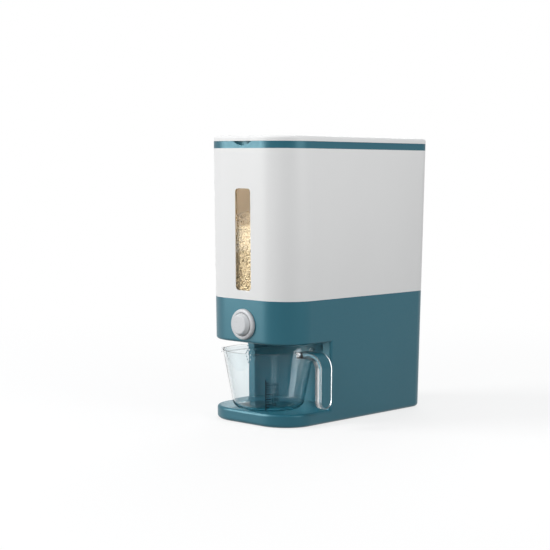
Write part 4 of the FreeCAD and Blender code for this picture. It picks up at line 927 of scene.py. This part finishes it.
@dataclass
class CupScale:
    """The printed scale on the cup's wall: an upright line, ticks and plain numbers.

    Lengths are in metres; the scale has ticks at each step in millilitres, every second one numbered.
    """

    centre: tuple[float, float] = (0.0, -0.098)
    foot_level: float = 0.0183
    foot_radius: float = 0.0465
    rim_radius: float = 0.062
    height: float = 0.0780
    floor: float = 0.0028
    wall: float = 0.0022
    line_angle: float = math.radians(-51.0)
    line_low: float = 0.0200
    line_high: float = 0.0625
    line_width: float = 0.0012
    tick_width: float = 0.0012
    long_tick: float = 0.0066
    short_tick: float = 0.0044
    step: int = 25
    steps: int = 11
    number_gap: float = 0.0008
    digit_height: float = 0.0046
    letter_size: float = 1.4
    slice_height: float = 0.0001
    lift: float = 0.00012
    ink_depth: float = 0.00008

    def build(self) -> None:
        """Builds the line and ticks, and the numbers."""
        ink = PRINT.build()
        middle, length = (self.line_low + self.line_high) / 2, self.line_high - self.line_low
        parts = [self.make_bar(0.0, self.line_width, middle, length)]
        words = []
        for index in range(1, self.steps + 1):
            z = self.level(index * self.step)
            major = index % 2 == 0
            length = self.long_tick if major else self.short_tick
            parts.append(self.make_bar(length / 2, length, z, self.tick_width))
            if major:
                start = self.long_tick + self.number_gap
                words.append(self.make_number(str(index * self.step), start, z))
        self.finish(parts, "cup_scale_lines", ink)
        self.finish(words, "cup_scale_numbers", ink)

    def level(self, millilitres: float) -> float:
        """Height of the brim of a volume in the cup.

        Args:
            millilitres: the volume.

        Returns:
            Its height above the resting plane.
        """
        lean = (self.rim_radius - self.foot_radius) / self.height
        height, volume = self.floor, 0.0
        while volume < millilitres * 1e-6:
            radius = self.foot_radius + height * lean - self.wall
            volume += math.pi * radius**2 * self.slice_height
            height += self.slice_height
        return self.foot_level + height

    def wrap(self, piece: Piece) -> None:
        """Lays a flat piece in X and Z on the cup's outer wall.

        Args:
            piece: a mesh whose X runs round the wall from the line and whose Z is the height.
        """
        lean = (self.rim_radius - self.foot_radius) / self.height
        for corner in piece.data.vertices:
            radius = self.foot_radius + (corner.co.z - self.foot_level) * lean + self.lift
            angle = self.line_angle + corner.co.x / radius
            corner.co.x = self.centre[0] + radius * math.cos(angle)
            corner.co.y = self.centre[1] + radius * math.sin(angle)

    def make_bar(self, middle: float, width: float, level: float, height: float) -> Piece:
        """A printed bar.

        Args:
            middle: its middle, round the wall from the line.
            width: its width.
            level: its middle height.
            height: its height.

        Returns:
            The bar, laid on the wall.
        """
        clear_selection()
        bpy.ops.mesh.primitive_grid_add(
            x_subdivisions=6, y_subdivisions=6, size=1.0, rotation=(math.pi / 2, 0.0, 0.0)
        )
        bar = bpy.context.object
        bar.scale = (width, height, 1.0)
        bar.location = (middle, 0.0, level)
        settle(bar)
        self.wrap(bar)
        return bar

    def make_number(self, text: str, start: float, level: float) -> Piece:
        """A printed number.

        Args:
            text: its digits.
            start: where it starts, round the wall from the line.
            level: its middle height.

        Returns:
            The number, laid on the wall.
        """
        clear_selection()
        bpy.ops.object.text_add(rotation=(math.pi / 2, 0.0, 0.0))
        word = bpy.context.object
        word.data.body = text
        word.data.size = self.digit_height * self.letter_size
        word.data.align_x = "LEFT"
        word.data.align_y = "CENTER"
        word.data.resolution_u = 2
        bpy.ops.object.convert(target="MESH")
        word = bpy.context.object
        word.location = (start, 0.0, level)
        settle(word)
        self.wrap(word)
        return word

    def finish(self, parts: list[Piece], name: str, ink: bpy.types.Material) -> None:
        """Joins printed parts and mounts them on the cup.

        Args:
            parts: the parts.
            name: name of the joined piece.
            ink: its material.
        """
        clear_selection()
        for part in parts:
            part.select_set(True)
        bpy.context.view_layer.objects.active = parts[0]
        bpy.ops.object.join()
        piece = parts[0]
        with editing(piece):
            bpy.ops.mesh.normals_make_consistent(inside=False)
        coat = piece.modifiers.new("ink_depth", "SOLIDIFY")
        coat.thickness = self.ink_depth
        coat.offset = 0.0
        bpy.ops.object.modifier_apply(modifier=coat.name)
        finish_piece(piece, name, Body.CUP, ink)


@dataclass
class SpringCoil:
    """The button's return spring, wound in one piece."""

    node: str = "return_spring"
    guide: str = "spring_guide"
    wire: float = 0.00045
    turns: float = 6.625
    sides: int = 10
    steps: int = 160
    travel: float = 0.010
    smooth_angle: float = math.radians(50)

    def build(self) -> None:
        """Winds the coil in its node's place, mounts it on the root and hides the node."""
        low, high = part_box(self.node)
        length = high.y - low.y
        middle = (low.z + high.z) / 2
        clear_selection()
        reach = (high.x - low.x) / 2 - self.wire
        bpy.ops.mesh.primitive_circle_add(vertices=self.sides, radius=self.wire, location=(reach, 0.0, 0.0))
        coil = bpy.context.object
        settle(coil)
        winding = coil.modifiers.new("winding", "SCREW")
        winding.axis = "Y"
        winding.angle = math.tau * self.turns
        winding.screw_offset = length - 2 * self.wire
        winding.steps = self.steps
        winding.render_steps = self.steps
        winding.use_merge_vertices = False
        bpy.ops.object.modifier_apply(modifier=winding.name)
        coil.location = (0.0, low.y + self.wire, middle)
        settle(coil)
        with editing(coil):
            bpy.ops.mesh.fill_holes(sides=0)
            bpy.ops.mesh.select_all(action="SELECT")
            bpy.ops.mesh.normals_make_consistent(inside=False)
        bpy.ops.object.shade_smooth_by_angle(angle=self.smooth_angle)
        steel = frame["nodes"][self.guide].data.materials[0]
        finish_piece(coil, "spring_coil", Body.ROOT, steel)
        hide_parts(self.node)
        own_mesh(coil)


@dataclass(frozen=True)
class Lamp:
    """A square soft lamp.

    Args:
        name: name of the lamp.
        place: where it hangs.
        aim: the point that it faces.
        size: side in metres.
        power: power in watts.
        tone: colour of its light.
        on_matt: whether it lights matt surfaces.
        on_gloss: whether it shows in glossy surfaces.
    """

    name: str
    place: Point
    aim: Point
    size: float
    power: float
    tone: Colour = (1.0, 1.0, 1.0)
    on_matt: bool = True
    on_gloss: bool = True

    def hang(self) -> None:
        """Adds the lamp to the scene."""
        light = bpy.data.lights.new(self.name, "AREA")
        light.color = self.tone
        light.shape = "SQUARE"
        light.size = self.size
        light.energy = self.power
        holder = bpy.data.objects.new(self.name, light)
        bpy.context.scene.collection.objects.link(holder)
        holder.location = self.place
        away = Vector(self.place) - Vector(self.aim)
        holder.rotation_euler = away.to_track_quat("Z", "Y").to_euler()
        holder.visible_camera = False
        holder.visible_diffuse = self.on_matt
        holder.visible_glossy = self.on_gloss


LAMPS = (
    Lamp("key_lamp", (-1.45, -1.80, 1.70), (0.0, -0.10, 0.20), 1.2, 50.0),
    Lamp("front_card", (-1.75, -2.10, 0.45), (0.0, -0.10, 0.15), 1.1, 32.0, on_matt=False),
    Lamp("tank_lamp", (0.02, -0.095, 0.350), (-0.02, -0.07, 0.25), 0.05, 0.041, (1.0, 0.80, 0.54)),
    Lamp("window_lamp", (0.55, -1.20, 0.50), (-0.01, -0.15, 0.22), 0.4, 1.8, on_gloss=False),
    Lamp("side_lamp", (0.90, -0.05, 0.60), (0.08, -0.05, 0.50), 0.4, 3.2),
    Lamp("rear_lamp", (-1.3, 2.0, 1.5), (0.0, 0.0, 0.2), 1.4, 26.0),
)


@dataclass
class Studio:
    """Pale floor, soft lamps and the camera.

    The surround's three strengths are for what is seen, what is mirrored and what lights matt
    surfaces. The floor's blend is the share of plain white near the object, up to the first distance
    of floor_clean; past the second it is all plain white.
    """

    camera_place: Vector = field(default_factory=lambda: Vector((1.32062, -1.51147, 0.34217)))
    camera_aim: Vector = field(default_factory=lambda: Vector((-0.67788, 0.73130, -0.07532)))
    camera_lens: float = 94.9
    camera_sensor: float = 36.0
    camera_roll: float = 0.378
    camera_clip: tuple[float, float] = (0.05, 60.0)
    seen_strength: float = 1.0
    mirror_strength: float = 0.60
    light_strength: float = 0.46
    floor_size: float = 14.0
    floor_paper: Colour = (0.86, 0.86, 0.86)
    floor_bounce: Colour = (0.20, 0.20, 0.20)
    floor_clean: tuple[float, float] = (0.35, 1.3)
    floor_blend: float = 0.74

    def build(self) -> None:
        """Builds the floor, world, lamps and camera."""
        self.make_floor()
        self.make_world()
        for lamp in LAMPS:
            lamp.hang()
        self.make_camera()

    def seen(self, sheet: NodeSheet) -> Socket:
        """One where a ray comes from the camera, off a gloss or through clear plastic.

        Args:
            sheet: the node sheet.

        Returns:
            The value's socket.
        """
        path = sheet.add("ShaderNodeLightPath").outputs
        direct = sheet.math("MAXIMUM", path["Is Camera Ray"], path["Is Transmission Ray"])
        return self.before_bounce(sheet, path, sheet.math("MAXIMUM", direct, path["Is Glossy Ray"]))

    def before_bounce(
        self,
        sheet: NodeSheet,
        path: bpy.types.NodeOutputs,
        value: Socket,
        counts: tuple[str, ...] = ("Diffuse Depth",),
    ) -> Socket:
        """A value up to a ray's first turn, of those that one or two counts hold, and zero after it."""
        turns = sheet.math("ADD", path[counts[0]], path[counts[-1]])
        return sheet.math("MULTIPLY", value, sheet.math("LESS_THAN", turns, 0.5))

    def make_floor(self) -> None:
        """A plain pale floor that keeps the object's shadow and turns plain white further out."""
        clear_selection()
        bpy.ops.mesh.primitive_plane_add(size=self.floor_size)
        floor = bpy.context.object
        floor.name = "studio_floor"
        sheet = NodeSheet(bpy.data.materials.new("floor_paper"))
        looked_at = self.seen(sheet)
        tone = sheet.mix(looked_at, self.floor_bounce, self.floor_paper)
        lit = sheet.add("ShaderNodeBsdfDiffuse", {"Color": tone})
        pale = sheet.add("ShaderNodeEmission", {"Color": (1.0, 1.0, 1.0)})
        place = sheet.add("ShaderNodeTexCoord").outputs["Object"]
        away = sheet.add("ShaderNodeVectorMath", {0: place}, operation="LENGTH").outputs["Value"]
        near, far = self.floor_clean
        clean = sheet.range(away, low=self.floor_blend, high=1.0, start=near, end=far)
        share = sheet.math("MULTIPLY", looked_at, clean)
        blend = sheet.add("ShaderNodeMixShader", {0: share, 1: lit.outputs[0], 2: pale.outputs[0]})
        floor.data.materials.append(sheet.surface(blend))

    def make_world(self) -> None:
        """A pale surround, plainer and dimmer as a light and as a gloss than as a background."""
        sheet = NodeSheet(bpy.data.worlds.new("studio_world"))
        path = sheet.add("ShaderNodeLightPath").outputs
        matt_turns = ("Diffuse Depth",)
        all_turns = ("Diffuse Depth", "Glossy Depth")
        lighting = {"Color": (0.96, 0.98, 1.0), "Strength": self.light_strength}
        level = sheet.add("ShaderNodeBackground", lighting)
        for name, strength, counts in (
            ("Is Glossy Ray", self.mirror_strength, matt_turns),
            ("Is Transmission Ray", self.seen_strength, all_turns),
            ("Is Camera Ray", self.seen_strength, matt_turns),
        ):
            light = sheet.add("ShaderNodeBackground", {"Color": (1.0, 1.0, 1.0), "Strength": strength})
            shown = self.before_bounce(sheet, path, path[name], counts)
            level = sheet.add("ShaderNodeMixShader", {0: shown, 1: level.outputs[0], 2: light.outputs[0]})
        bpy.context.scene.world = sheet.surface(level)

    def make_camera(self) -> None:
        """The camera, in front on the right, a little under the top of the lid, looking slightly down."""
        lens = bpy.data.cameras.new("studio_camera")
        lens.lens = self.camera_lens
        lens.sensor_width = self.camera_sensor
        lens.clip_start, lens.clip_end = self.camera_clip
        camera = bpy.data.objects.new("studio_camera", lens)
        bpy.context.scene.collection.objects.link(camera)
        aim = self.camera_aim.normalized()
        level = aim.cross(Vector((0.0, 0.0, 1.0))).normalized()
        rise = level.cross(aim)
        turn = math.radians(self.camera_roll)
        right = level * math.cos(turn) + rise * math.sin(turn)
        up = rise * math.cos(turn) - level * math.sin(turn)
        matrix = Matrix((right, up, -aim)).transposed().to_4x4()
        matrix.translation = self.camera_place
        camera.matrix_world = matrix
        bpy.context.scene.camera = camera
        bpy.context.scene.view_settings.view_transform = "Standard"


def main() -> None:
    """Builds and dresses the dispenser."""
    logging.basicConfig(level=logging.INFO, format="%(message)s")
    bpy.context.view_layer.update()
    Housing(frame["nodes"]).dress()
    RiceFill().build()
    CupScale().build()
    SpringCoil().build()
    Studio().build()


if __name__ == "__main__":
    main()
